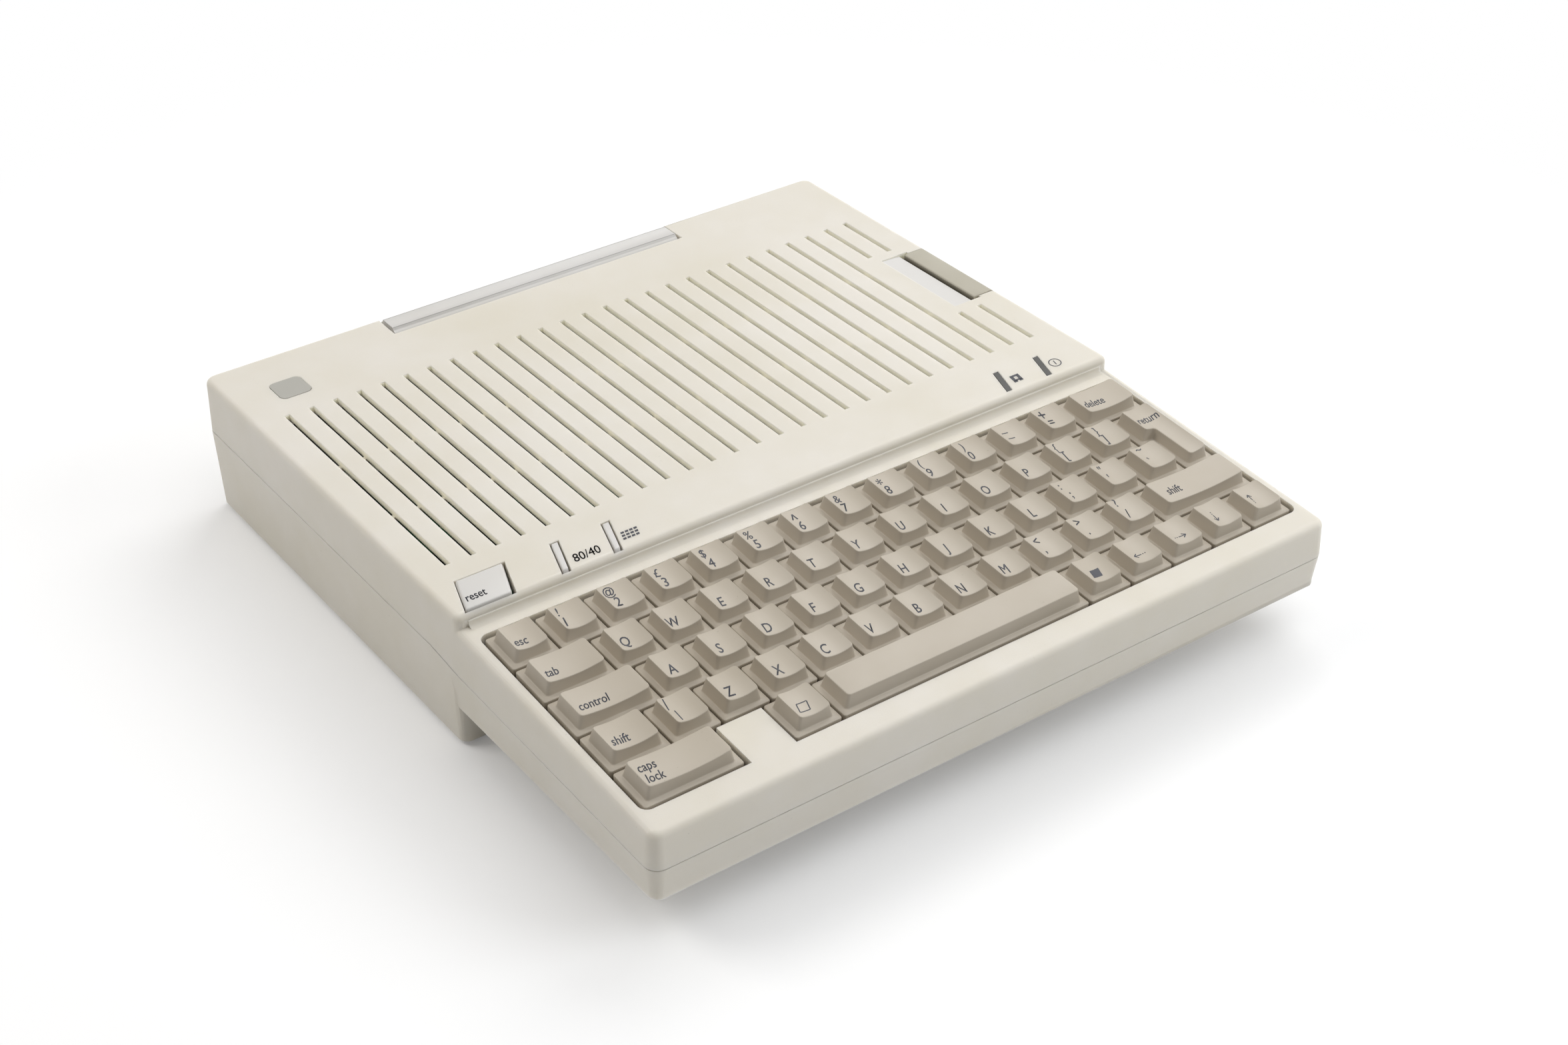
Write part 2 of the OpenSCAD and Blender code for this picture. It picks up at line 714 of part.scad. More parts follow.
// Frame that carries the rocker
module rocker_frame() {
    difference() {
        translate([switch_x - rocker_w / 2 - 3, socket_y - socket_depth, board_top])
            cube([rocker_w + 6, socket_depth, port_z + rocker_h / 2 + 1 - board_top]);
        translate([switch_x - rocker_w / 2 - 0.4, socket_y - 6.5, port_z - rocker_h / 2 - 0.3])
            cube([rocker_w + 0.8, 20, rocker_h + 0.6]);
        translate([switch_x, rocker_y, port_z]) rotate([0, 90, 0])
            cylinder(d = rocker_pin + 2 * fit, h = rocker_w + 3, center = true);
    }
}

// --- bottom case ---
tongue = 1.2;
plate_x = block_w / 2 - 0.5;
plate_front = block_rear + block_d + 0.6;
plate_rear = 15;
stand_r = 3;
kb_posts = concat([for (sx = [-1, 1], x = [plate_x - 17.6, 45], y = [-plate_front + 5, -52]) [sx * x, y]],
    [for (sx = [-1, 1], x = [plate_x - 11.6, 45]) [sx * x, 9]]);
chassis_x1 = side_x - 13;
chassis_x0 = chassis_x1 - 139;
board_left = -side_x + 13;
board_rear = rear_y - 6.5;
strip_x = chassis_x0 - 4;
board_posts = [[board_left + 6, board_rear - 119], [strip_x - 8, board_rear - 119],
    [board_left + 6, board_rear - 77], [strip_x - 8, board_rear - 57], [board_left + 6, board_rear - 7],
    [2 - notch_w / 2, board_rear - 7], [strip_x - 2, board_rear - 7], [-board_left - 71, board_rear - 12],
    [-board_left - 7, board_rear - 12]];
drive_posts = [for (x = [chassis_x0 + 12, chassis_x1 - 11], sy = [-1, 1])
    [x, drive_y + sy * (chassis_w / 2 - 9)]];
chassis_z = board_top + 2.6;
post_r = 4.5;
dial_x = -side_x + 44;
dial_r = 10;
dial_h = 5;
dial_gap = 0.4;
dial_n = 30;
dial_notch = 0.3;
dial_pin = 2.5;
dial_y = belly_y + dial_r - 2.5;
dial_z = base_z + 5.6;
jack_x = dial_x + 20;
audio_z = floor_z + 1;

module bottom_case() {
    color(case_colour) difference() {
        union() {
            difference() {
                union() {
                    intersection() {
                        lower_block();
                        below(-seam_gap);
                    }
                    intersection() {
                        translate([0, 0, shelf_z]) linear_extrude(case_h)
                            pad(-side_x + tongue, front_y + tongue, side_x - tongue, rear_y - tongue,
                                corner_r - tongue);
                        below(0);
                    }
                }
                cavity();
            }
            bottom_case_inside();
        }
        // channels of the handle's arms and the bores of its pins
        arm_channels(base_z - 9, deck_z);
        for (sx = [-1, 1])
            translate([sx * (channel_x0 + channel_x1) / 2, pivot_y, pivot_z]) rotate([0, 90, 0])
                cylinder(d = pivot_d + 2 * fit, h = arm_w + 2 * block_t + 4, center = true);
        // recessed panel and openings of the ports
        for (x = [[-panel_x, -channel_x1 - 3], [-channel_x0 + 3, channel_x0 - 3], [channel_x1 + 3, panel_x]])
            translate([x[0], panel_y, port_z - panel_h / 2]) cube([x[1] - x[0], 20, panel_h]);
        for (p = data_ports) at_port(p[0], inner_rear - 1, 20) d_shape(p[1], 0.3);
        for (x = concat(serial_x, [inlet_x]))
            translate([x, inner_rear - 1, port_z]) rotate([-90, 0, 0]) cylinder(r = din_r + 0.3, h = 20);
        translate([video_x, inner_rear - 1, port_z]) rotate([-90, 0, 0]) cylinder(r = 4.5, h = 20);
        translate([switch_x - rocker_w / 2 - 0.4, inner_rear - 1, port_z - rocker_h / 2 - 0.4])
            cube([rocker_w + 0.8, 20, rocker_h + 0.8]);
        // lower edge of the disk slot
        translate([inner_x - 1, drive_y - disk_slot_w / 2, seam_z - seam_gap]) cube([20, disk_slot_w, 9]);
        // volume dial and headphone jack, in the front of the deep part
        translate([dial_x - dial_r, belly_y - 5, dial_z - dial_gap])
            cube([2 * dial_r, 5 + wall + e, dial_h + 2 * dial_gap]);
        translate([jack_x, belly_y - 5, jack_z]) rotate([-90, 0, 0]) cylinder(r = 3.5, h = 9);
        // screw holes, seats of the feet and air slots
        for (p = boss_at) translate([p[0], p[1], 0]) {
            cylinder(r = screw_r + fit, h = deck_z);
            translate([0, 0, base_z - 1])
                cylinder(r = head_r + seat, h = seam_at(p[1]) - screw_down - base_z + 1);
        }
        for (p = feet_at) translate([p[0], p[1], 0]) cylinder(d = foot_d + 0.4, h = base_z + 1);
        for (i = [0:8]) translate([-side_x + 16 + 5 * i, rear_y - 69.5, 0]) cube([2, 44, base_z + wall + 1]);
    }
}

foot_in = 16;
feet_at = [for (sx = [-1, 1], y = [belly_y + foot_in, rear_y - foot_in]) [sx * (side_x - foot_in - 4), y]];

module below(dz) {
    difference() {
        translate([-case_w, -case_d, 0]) cube([2 * case_w, 2 * case_d, deck_z]);
        above(dz);
    }
}

module bottom_case_inside() {
    intersection() {
        for (p = boss_at) translate([p[0], p[1], 0]) cylinder(r = boss_r, h = deck_z);
        cavity(0.6);
        below(0);
    }
    arm_block(floor_z - e, seam_z - 0.2);
    translate([0, 0, floor_z - e]) {
        for (p = board_posts) translate(p) cylinder(r = stand_r, h = board_z - floor_z + e);
        for (p = drive_posts) translate(p) cylinder(r = stand_r, h = chassis_z - floor_z + e);
        for (x = [dial_x - 8, jack_x + 5])
            translate([x, belly_y + 14]) cylinder(r = stand_r - 1, h = audio_z - floor_z + e);
    }
    intersection() {
        on_surround() for (p = kb_posts)
            translate([p[0], p[1], -60]) cylinder(r = stand_r, h = 60 + plate_z - plate_t - board_t);
        cavity(0.6);
    }
}

module rubber_feet() {
    color("#77736a") for (p = feet_at) translate([p[0], p[1], 0]) cylinder(d = foot_d, h = base_z + 1);
}

module case_screws() {
    color(steel_colour)
        for (p = boss_at) translate([p[0], p[1], seam_at(p[1]) - screw_down]) difference() {
            union() {
                translate([0, 0, -head_h]) cylinder(r = head_r, h = head_h);
                translate([0, 0, -e]) cylinder(r = screw_r, h = screw_down + screw_up + e);
            }
            translate([0, 0, -head_h]) for (a = [0, 90]) rotate(a)
                cube([1.3 * head_r, 0.8, head_h], center = true);
        }
}

module handle() {
    bar_y = rear_y - notch_d + 1.4;
    bar_h = notch_h - 0.4 - handle_gap;
    color("#e9e8e4") {
        difference() {
            translate([arm_x, 0, 0]) rotate([90, 0, -90]) linear_extrude(2 * arm_x)
                translate([-arm_y, handle_z - bar_h]) union() {
                    square([arm_y - bar_y, bar_h - 2]);
                    translate([2, 0]) square([arm_y - bar_y - 4, bar_h]);
                    for (x = [2, arm_y - bar_y - 2]) translate([x, bar_h - 2]) circle(2);
                }
            // finger hollow under the bar
            translate([-arm_x + arm_w + 4, bar_y + 2.4, handle_z - bar_h - 1])
                cube([2 * (arm_x - arm_w - 4), arm_y - bar_y - 4.8, bar_h - 2]);
        }
        for (sx = [-1, 1]) translate([sx > 0 ? arm_x - arm_w : -arm_x, 0, 0]) {
            translate([0, pivot_y, pivot_z]) rotate([0, 90, 0]) cylinder(d = arm_t, h = arm_w);
            translate([0, pivot_y - arm_t / 2, pivot_z]) cube([arm_w, arm_t, arm_l - bar_h + 1]);
            translate([-handle_gap - block_t, pivot_y, pivot_z]) rotate([0, 90, 0])
                cylinder(d = pivot_d, h = arm_w + 2 * (handle_gap + block_t));
        }
    }
}

latch_h = 18.5;
latch_t = 2.4;
latch_ear = 2.6;
module drive_latch() {
    out = side_x - upper_draft;
    pin_z = latch_axis[1] - deck_z;
    color("#8e897e") translate([0, drive_y, deck_z]) rotate([90, 0, 0]) {
        linear_extrude(latch_w, center = true) {
            polygon([[latch_x, 0], [out - edge_r, 0], [out - edge_r, -edge_r], [out, -edge_r],
                [out, -latch_h], [out - latch_t, -latch_h], [out - latch_t, -latch_t - 1.5],
                [out - latch_t - 1.5, -latch_t], [latch_x, -latch_t]]);
            translate([out - edge_r, -edge_r]) circle(edge_r);
            translate([latch_axis[0], pin_z]) circle(latch_ear);
            translate([latch_axis[0] - latch_ear, pin_z]) square([2 * latch_ear - 0.6, -pin_z - latch_t + e]);
        }
        translate([latch_axis[0], pin_z, 0]) cylinder(d = latch_pin, h = latch_w + 5, center = true);
    }
}

// --- keyboard inside ---
module key_switches() {
    w = stem_s + 2 * seat;
    color("#e8e6dd") on_surround() {
        for (c = switch_cells)
            translate([block_x + (c[0] + c[2] / 2) * key_u, -block_rear - (c[1] + 0.5) * key_u, plate_z])
                difference() {
                    translate([-switch_s / 2, -switch_s / 2, 0]) cube([switch_s, switch_s, switch_h]);
                    translate([-w / 2, -w / 2, -1]) cube([w, w, switch_h + 2]);
                }
        for (b = buttons)
            translate([button_cx(b[0], b[1]), button_ly, plate_z]) difference() {
                translate([-button_body_s / 2, -button_body_s / 2, 0])
                    cube([button_body_s, button_body_s, button_body_h]);
                translate([-button_stem / 2 - seat, -button_stem / 2 - seat, -1])
                    cube([button_stem + 2 * seat, button_stem + 2 * seat, button_body_h + 2]);
            }
    }
}

module plate_outline() {
    translate([-plate_x, -plate_front]) square([2 * plate_x, plate_front - 1]);
    translate([-plate_x + 6, -plate_front]) square([2 * plate_x - 12, plate_front + plate_rear]);
}
module keyboard_plate() {
    color(steel_colour) on_surround() translate([0, 0, plate_z - plate_t]) linear_extrude(plate_t)
        difference() {
            plate_outline();
            for (p = kb_posts) translate(p) circle(screw_r);
        }
}
module keyboard_board() {
    color(board_colour) on_surround() translate([0, 0, plate_z - plate_t - board_t]) linear_extrude(board_t)
        difference() {
            plate_outline();
            for (p = kb_posts) translate(p) circle(screw_r);
        }
}

// --- boards ---
relief_x0 = channel_x0 - 3.5;
relief_x1 = channel_x1 + 3.5;
relief_y = board_rear - 4.5;
strip_y = board_rear - 23;
logic_outline = [[board_left, board_rear - 125], [board_left, board_rear], [-relief_x1, board_rear],
    [-relief_x1, relief_y], [-relief_x0, relief_y], [-relief_x0, board_rear], [relief_x0, board_rear],
    [relief_x0, relief_y], [relief_x1, relief_y], [relief_x1, board_rear], [-board_left, board_rear],
    [-board_left, strip_y], [strip_x, strip_y], [strip_x, board_rear - 166],
    [strip_x - 52, board_rear - 166], [strip_x - 52, board_rear - 125]];
module logic_board() {
    color(board_colour) {
        translate([0, 0, board_z]) linear_extrude(board_t) difference() {
            polygon(logic_outline);
            for (p = board_posts) translate(p) circle(screw_r);
        }
        rocker_frame();
    }
}

// Long chips with 40 pins, middle ones with 28 and short ones with 16: x, y, length, width
chips = [for (c = concat([for (i = [0:2]) [58 - 19 * i, 47, 15, 51]],
    [for (i = [0:1]) [98 - 17 * i, 105, 14, 36]],
    [for (i = [0:7]) [64 - 11 * (i % 4), i < 4 ? 114 : 89, 7, 20]],
    [for (i = [0:3]) [46 - 11 * i, 153, 7, 20]])) [strip_x - c[0], board_rear - c[1], c[2], c[3]]];
chip_h = 4;
module logic_chips() {
    color(dark_colour) for (c = chips)
        translate([c[0] - c[2] / 2, c[1] - c[3] / 2, board_top]) cube([c[2], c[3], chip_h]);
}

shield_t = 0.8;
module bottom_shield() {
    color(steel_colour) translate([strip_x - 68, board_rear - 123, floor_z]) cube([54, 108, shield_t]);
}

converter = [44, 46, 29];
module power_converter() {
    color(steel_colour) translate([board_left + 2, board_rear - 65, board_top]) difference() {
        cube(converter);
        for (i = [0:6]) translate([5 + 5 * i, 6, converter[2] - 2]) cube([2, converter[1] - 12, 9]);
    }
}

cone_h = 9;
module speaker() {
    color(dark_colour) translate([board_left + 25, belly_y + 34.5, floor_z]) difference() {
        union() {
            cylinder(r1 = 12, r2 = 17, h = cone_h);
            translate([0, 0, cone_h - e]) cylinder(r = 22, h = 1.6);
        }
        translate([0, 0, cone_h - 4]) cylinder(r1 = 4, r2 = 20, h = 6);
    }
}

jack_z = audio_z + board_t + 4;
module audio_board() {
    z = audio_z;
    color(board_colour) {
        translate([dial_x - 12, belly_y + wall + 0.4, z]) cube([jack_x - dial_x + 22, 15, board_t]);
        translate([dial_x, dial_y, z]) cylinder(r = dial_pin, h = dial_z + dial_h - z + 0.8);
        difference() {
            translate([jack_x - 4, belly_y + wall + seat, z + board_t - e]) cube([8, 13, 8]);
            translate([jack_x, belly_y, jack_z]) rotate([-90, 0, 0]) cylinder(r = 1.8, h = 13);
        }
    }
}

module volume_dial() {
    color("#6d6a62") translate([dial_x, dial_y, dial_z]) difference() {
        cylinder(r = dial_r, h = dial_h, $fn = 60);
        translate([0, 0, -1]) cylinder(r = dial_pin + fit, h = dial_h + 2);
        for (i = [0:dial_n - 1]) rotate(i * 360 / dial_n) translate([dial_r - dial_notch, -0.35, -1])
            cube([1, 0.7, dial_h + 2]);
    }
}

// --- disk drive ---
chassis_top = pocket_z;
chassis_y = drive_y - chassis_w / 2;
chassis_l = chassis_x1 - chassis_x0;
base_t = 4;
base_top = disk_z - 14;
guide_w = 5;
guide_t = 2;
guide_z = disk_z - 3.2;
spindle_x = chassis_x1 - 61.7;
spindle_r = 4;
spindle_boss_r = 9;
hub_r = 14;
turn_gap = 0.3;
head_out = 57.2;
head_x = spindle_x - head_out;
rail_r = 2;
rail_z = base_top + 7;
rail_dy = 14;
rail_x0 = chassis_x0 + chassis_t - e;
rail_block = 5;
carriage_l = 20;
carriage_w = 40;
carriage_h = 9;
carriage_back = 8;
carriage_z = base_top + 2;
rail_x1 = head_x + carriage_l - carriage_back + head_travel + rail_block + 5;
arm_w2 = 24;
arm_t2 = 1.6;
arm_z = disk_z + 4;
arm_axis_z = arm_z + arm_t2 / 2;
arm_axis_x = chassis_x0 + 6;
arm_pin = 1.5;
arm_post_dy = 20;
clamp_r = 11;
motor_r = 20;
motor_x = chassis_x0 + motor_r + 8;
motor_y = chassis_y + motor_r + 9;
shaft_r = 2.5;

module drive_chassis() {
    color(steel_colour) {
        difference() {
            union() {
                translate([chassis_x0, chassis_y, base_top - base_t]) cube([chassis_l, chassis_w, base_t]);
                for (y = [chassis_y, chassis_y + chassis_w - chassis_t])
                    translate([chassis_x0, y, chassis_z])
                        cube([chassis_l, chassis_t, chassis_top - chassis_z]);
                translate([chassis_x0, chassis_y, base_top - e])
                    cube([chassis_t, chassis_w, chassis_top - base_top + e]);
                // guides of the disk
                for (y = [chassis_y + chassis_t - e, chassis_y + chassis_w - chassis_t - guide_w])
                    translate([chassis_x0 + motor_r, y, guide_z])
                        cube([chassis_l - motor_r, guide_w + e, guide_t]);
                for (p = drive_posts)
                    translate([p[0], p[1], chassis_z]) cylinder(r = post_r, h = base_top - chassis_z);
                translate([spindle_x, drive_y, base_top - base_t - 1])
                    cylinder(r = spindle_boss_r, h = base_t + 6);
                for (s = [-1, 1]) {
                    translate([rail_x1 - rail_block, drive_y + s * rail_dy - 4, base_top - e])
                        cube([rail_block, 8, rail_z - base_top + 4]);
                    translate([chassis_x0, drive_y + s * arm_post_dy - 2.5, base_top - e])
                        cube([9, 5, arm_z + 3.5 - base_top]);
                }
            }
            translate([spindle_x, drive_y, 0]) cylinder(r = spindle_r + fit, h = deck_z);
            translate([motor_x, motor_y, 0]) cylinder(r = shaft_r + 1, h = base_top + 1);
            for (p = drive_posts) translate([p[0], p[1], chassis_z - 1]) cylinder(r = screw_r, h = 9);
            translate([arm_axis_x, drive_y, arm_axis_z]) rotate([90, 0, 0])
                cylinder(r = arm_pin + fit, h = 3 * arm_post_dy, center = true);
            // window in the wall behind the arm
            translate([chassis_x0 - 1, drive_y - arm_w2 / 2 - 5, arm_z - 6])
                cube([chassis_t + 2, arm_w2 + 10, 30]);
        }
        for (s = [-1, 1]) translate([rail_x0, drive_y + s * rail_dy, rail_z]) rotate([0, 90, 0])
            cylinder(r = rail_r, h = rail_x1 - rail_x0 - e);
    }
}

module drive_board() {
    y = drive_y + arm_post_dy + 4;
    color(board_colour) {
        translate([chassis_x0, y, chassis_top]) cube([62, chassis_y + chassis_w - y, board_t]);
        for (i = [0:2]) translate([chassis_x0 + 8 + 18 * i, y + 10, chassis_top + board_t - e])
            cube([7, 20, 3]);
    }
}

module spindle() {
    hub_z = base_top + 5 + turn_gap;
    rotor_z = chassis_z - 0.4;
    rotor_top = base_top - base_t - 1 - turn_gap;
    color(steel_colour) translate([spindle_x, drive_y, 0]) {
        translate([0, 0, hub_z]) cylinder(r = hub_r, h = disk_z - 1 - hub_z);
        translate([0, 0, rotor_top - 1]) cylinder(r = spindle_r, h = hub_z - rotor_top + 2);
        translate([0, 0, rotor_z]) difference() {
            cylinder(d = rotor_d, h = rotor_top - rotor_z);
            translate([0, 0, -1]) cylinder(d = rotor_d - 6, h = 2.5);
        }
    }
}

module clamp_arm() {
    color(dark_colour) {
        translate([arm_axis_x - arm_pin, drive_y - arm_w2 / 2, arm_z])
            cube([spindle_x + clamp_r - arm_axis_x, arm_w2, arm_t2]);
        translate([arm_axis_x, drive_y, arm_axis_z]) rotate([90, 0, 0])
            cylinder(r = arm_pin, h = 2 * arm_post_dy + 5, center = true);
        translate([spindle_x, drive_y, disk_z - 0.6]) cylinder(r = clamp_r, h = arm_z - disk_z + 0.6 + e);
    }
}

// Carriage on its two rails, with a head below the disk and a pressure arm above it
module head_carriage() {
    color(dark_colour) translate([head_x, drive_y, 0]) difference() {
        union() {
            translate([-carriage_back, -carriage_w / 2, carriage_z])
                cube([carriage_l, carriage_w, carriage_h]);
            translate([-4, -4, carriage_z]) cube([8, 8, disk_z - 0.6 - carriage_z]);
            translate([-carriage_back, -carriage_w / 2, carriage_z]) cube([5, 8, disk_z + 3.2 - carriage_z]);
            translate([-carriage_back, -carriage_w / 2, disk_z + 1.6]) cube([12, carriage_w / 2 + 4, 1.6]);
            translate([-3, -3, disk_z + 0.6]) cube([6, 6, 1.6]);
        }
        for (s = [-1, 1]) translate([-carriage_l, s * rail_dy, rail_z]) rotate([0, 90, 0])
            cylinder(r = rail_r + fit, h = 2 * carriage_l);
    }
}

module stepper_motor() {
    color(steel_colour) translate([motor_x, motor_y, chassis_z]) difference() {
        cylinder(r = motor_r, h = base_top - base_t - chassis_z);
        translate([0, 0, 2]) cylinder(r = shaft_r + fit, h = 20);
    }
}

module stepper_pulley() {
    color("#c9b26a") translate([motor_x, motor_y, 0]) {
        translate([0, 0, chassis_z + 2 + turn_gap]) cylinder(r = shaft_r, h = base_top - chassis_z);
        translate([0, 0, base_top + 1]) cylinder(r = pulley_r, h = 6);
    }
}

top_case();
bottom_case();
badge_inlay();
indicator_lamps();
rubber_feet();
case_screws();
handle();
drive_latch();
reset_key();
column_switch();
keyboard_switch();
key_esc();
key_tab();
key_control();
key_left_shift();
key_caps_lock();
key_delete();
key_return();
key_right_shift();
key_open_marker();
space_bar();
key_solid_marker();
key_left_arrow();
key_right_arrow();
key_down_arrow();
key_up_arrow();
keys_column_1();
keys_column_2();
keys_column_3();
keys_column_4();
keys_column_5();
keys_column_6();
keys_column_7();
keys_column_8();
keys_column_9();
keys_column_10();
keys_column_11();
keys_column_12();
key_switches();
keyboard_plate();
keyboard_board();
logic_board();
logic_chips();
bottom_shield();
power_converter();
speaker();
volume_dial();
audio_board();
power_switch();
power_inlet();
serial_sockets();
data_sockets();
video_jack();
drive_chassis();
drive_board();
spindle();
clamp_arm();
head_carriage();
stepper_pulley();
stepper_motor();
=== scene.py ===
"""Finishes, rounded caps, printing and fine detail of a portable home computer.

Lengths are millimetres until a piece is made. +X is the user's right, +Y the rear, +Z up.
"""

import json
import math

import bmesh
import bpy
from mathutils import Matrix, Vector


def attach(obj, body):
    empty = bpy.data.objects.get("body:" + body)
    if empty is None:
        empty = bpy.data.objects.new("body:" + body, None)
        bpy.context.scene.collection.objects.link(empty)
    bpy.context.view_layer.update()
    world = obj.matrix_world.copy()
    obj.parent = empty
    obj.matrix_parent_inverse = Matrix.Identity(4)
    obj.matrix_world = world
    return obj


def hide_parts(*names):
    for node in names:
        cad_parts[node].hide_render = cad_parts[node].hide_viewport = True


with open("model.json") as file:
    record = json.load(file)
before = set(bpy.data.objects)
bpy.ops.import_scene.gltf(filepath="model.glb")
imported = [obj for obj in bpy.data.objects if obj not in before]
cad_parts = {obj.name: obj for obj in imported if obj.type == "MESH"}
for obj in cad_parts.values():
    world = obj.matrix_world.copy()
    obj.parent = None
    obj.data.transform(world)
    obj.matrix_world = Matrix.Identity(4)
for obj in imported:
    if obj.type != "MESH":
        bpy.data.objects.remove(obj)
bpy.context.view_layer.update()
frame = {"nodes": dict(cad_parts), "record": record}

MM = 0.001
scene = bpy.context.scene
body_of = {n: b for b, ns in frame["record"]["behaviour"]["bodies"].items() for n in ns}

# ---------------------------------------------------------------- sizes of the object
# foot of the step before the keyboard, and the level of the deck
STEP_Y, STEP_Z, DECK_Z = -39.0, 52.3, 57.5
# slope of the surround, spacing of the keys, left and rear edge of their block on the surround
SLOPE, KEY = math.radians(4.05), 19.05
BLOCK_X, BLOCK_REAR = -7.25 * KEY, 7.1
# a cap's heights over the surround, and the depth of the hollow in its top
SKIRT_TOP, SKIRT_FOOT, CAP_TOP = -0.6, -4.0, 4.7
HOLLOW, BAR_HOLLOW = 1.1, 0.3
# side and lower end of the square foot that slides in the switch
STEM, STEM_FOOT = 5.0, -10.0
# how far the top, the foot of the leaning sides and the skirt stay inside a key's cell
TOP_SIDE, TOP_FRONT, TOP_REAR = 3.55, 3.1, 2.9
BASE_SIDE, BASE_FRONT, BASE_REAR = 2.5, 2.4, 2.3
GAP = 0.45
# half width and ends of the field of slots, and the depths between which their walls get a painted
# light
SLOTS_X, SLOTS_Y, SLOT_WALL = 140.0, (-14.0, 112.0), (0.25, 3.0)
# middle of the drive; slant of the slots, the buttons and the lettering
DRIVE_Y, SLANT = 49.75, math.tan(math.radians(18.4))
# the ordinary keys: columns, first cell of each row, signs of each row
COLUMNS, ROW_START = 12, [1, 1.5, 1.75, 1.25]
ROWS = ["1234567890-=", "QWERTYUIOP[]", "ASDFGHJKL;'`", "\\ZXCVBNM,./"]

on_surround = Matrix.Translation((0, STEP_Y, STEP_Z)) @ Matrix.Rotation(SLOPE, 4, "X")


# ---------------------------------------------------------------- meshes and objects
def as_mesh(name, bm):
    """Mesh data of a bmesh, which is freed."""
    mesh = bpy.data.meshes.new(name)
    bm.to_mesh(mesh)
    bm.free()
    return mesh


def shown(name, data):
    """New object in the scene."""
    made = bpy.data.objects.new(name, data)
    scene.collection.objects.link(made)
    return made


def join(into, bm):
    """Adds one mesh to another and frees it."""
    mesh = as_mesh("joined", bm)
    into.from_mesh(mesh)
    bpy.data.meshes.remove(mesh)


def block(bm, place, size):
    """Adds a box, put in its place by a matrix."""
    box = bmesh.ops.create_cube(bm, size=1)["verts"]
    bmesh.ops.transform(bm, verts=box, matrix=place @ Matrix.Diagonal((*size, 1)))


def bridge(bm, low, high):
    """Faces between two rings of equally many points."""
    n = len(low)
    for k in range(n):
        bm.faces.new((low[k], low[(k + 1) % n], high[(k + 1) % n], high[k]))


# ---------------------------------------------------------------- finishes
class Shade:
    """A value inside a finish; arithmetic on it adds Math nodes."""

    def __init__(self, finish, out):
        self.finish, self.out = finish, out

    def _math(self, operation, a, b):
        return self.finish.node("ShaderNodeMath", {"operation": operation}, {0: a, 1: b})

    def __add__(self, other):
        return self._math("ADD", self, other)

    def __sub__(self, other):
        return self._math("SUBTRACT", self, other)

    def __rsub__(self, other):
        return self._math("SUBTRACT", other, self)

    def __mul__(self, other):
        return self._math("MULTIPLY", self, other)

    __radd__, __rmul__ = __add__, __mul__

    def clip(self, low, high):
        """0 below low, 1 above high, straight between them."""
        return self.finish.node("ShaderNodeMapRange", {"clamp": True},
                                {"Value": self, "From Min": low, "From Max": high})


class Finish:
    """One material: a Principled shader and the pattern that feeds it."""

    def __init__(self, name, **constants):
        self.material = bpy.data.materials.new(name)
        self.material.use_nodes = True
        self.tree = self.material.node_tree
        self.tree.nodes.clear()
        self.end = self.tree.nodes.new("ShaderNodeOutputMaterial")
        self.shader = self.tree.nodes.new("ShaderNodeBsdfPrincipled")
        self.tree.links.new(self.shader.outputs[0], self.end.inputs[0])
        self.feed(self.shader, {k.replace("_", " "): v for k, v in constants.items()})
        self.place = self.node("ShaderNodeTexCoord", out="Object")

    def feed(self, node, sockets):
        """Sets or links the sockets of a node."""
        for key, value in sockets.items():
            if isinstance(value, Shade):
                self.tree.links.new(value.out, node.inputs[key])
            else:
                node.inputs[key].default_value = value

    def node(self, kind, settings=None, sockets=None, out=0):
        """Adds a node and gives one of its outputs."""
        node = self.tree.nodes.new(kind)
        for key, value in (settings or {}).items():
            setattr(node, key, value)
        self.feed(node, sockets or {})
        return Shade(self, node.outputs[out])

    def noise(self, size, detail=2.0, rough=0.5, stretch=(1, 1, 1)):
        """Cloudy pattern whose patches are about size millimetres across."""
        place = self.node("ShaderNodeMapping", {"vector_type": "POINT"},
                          {"Vector": self.place, "Scale": stretch})
        return self.node("ShaderNodeTexNoise", {"noise_dimensions": "3D"},
                         {"Vector": place, "Scale": 1 / (size * MM), "Detail": detail,
                          "Roughness": rough})

    def blend(self, factor, a, b):
        """Colour a, turning into b with the factor."""
        return self.node("ShaderNodeMix", {"data_type": "RGBA", "blend_type": "MIX"},
                         {0: factor, 6: a, 7: b}, out=2)

    def bump(self, height, depth):
        """Normal of a relief whose height runs over depth millimetres."""
        return self.node("ShaderNodeBump", None,
                         {"Height": height, "Distance": depth * MM, "Strength": 1.0})

    def dress(self, **sockets):
        """Feeds the shader and gives the finished material."""
        self.feed(self.shader, {k.replace("_", " "): v for k, v in sockets.items()})
        return self.material


def tone(hex_code):
    """Linear colour of a #rrggbb code."""
    parts = [int(hex_code[i:i + 2], 16) / 255 for i in (1, 3, 5)]
    return tuple(c / 12.92 if c <= 0.04045 else ((c + 0.055) / 1.055) ** 2.4 for c in parts) + (1,)


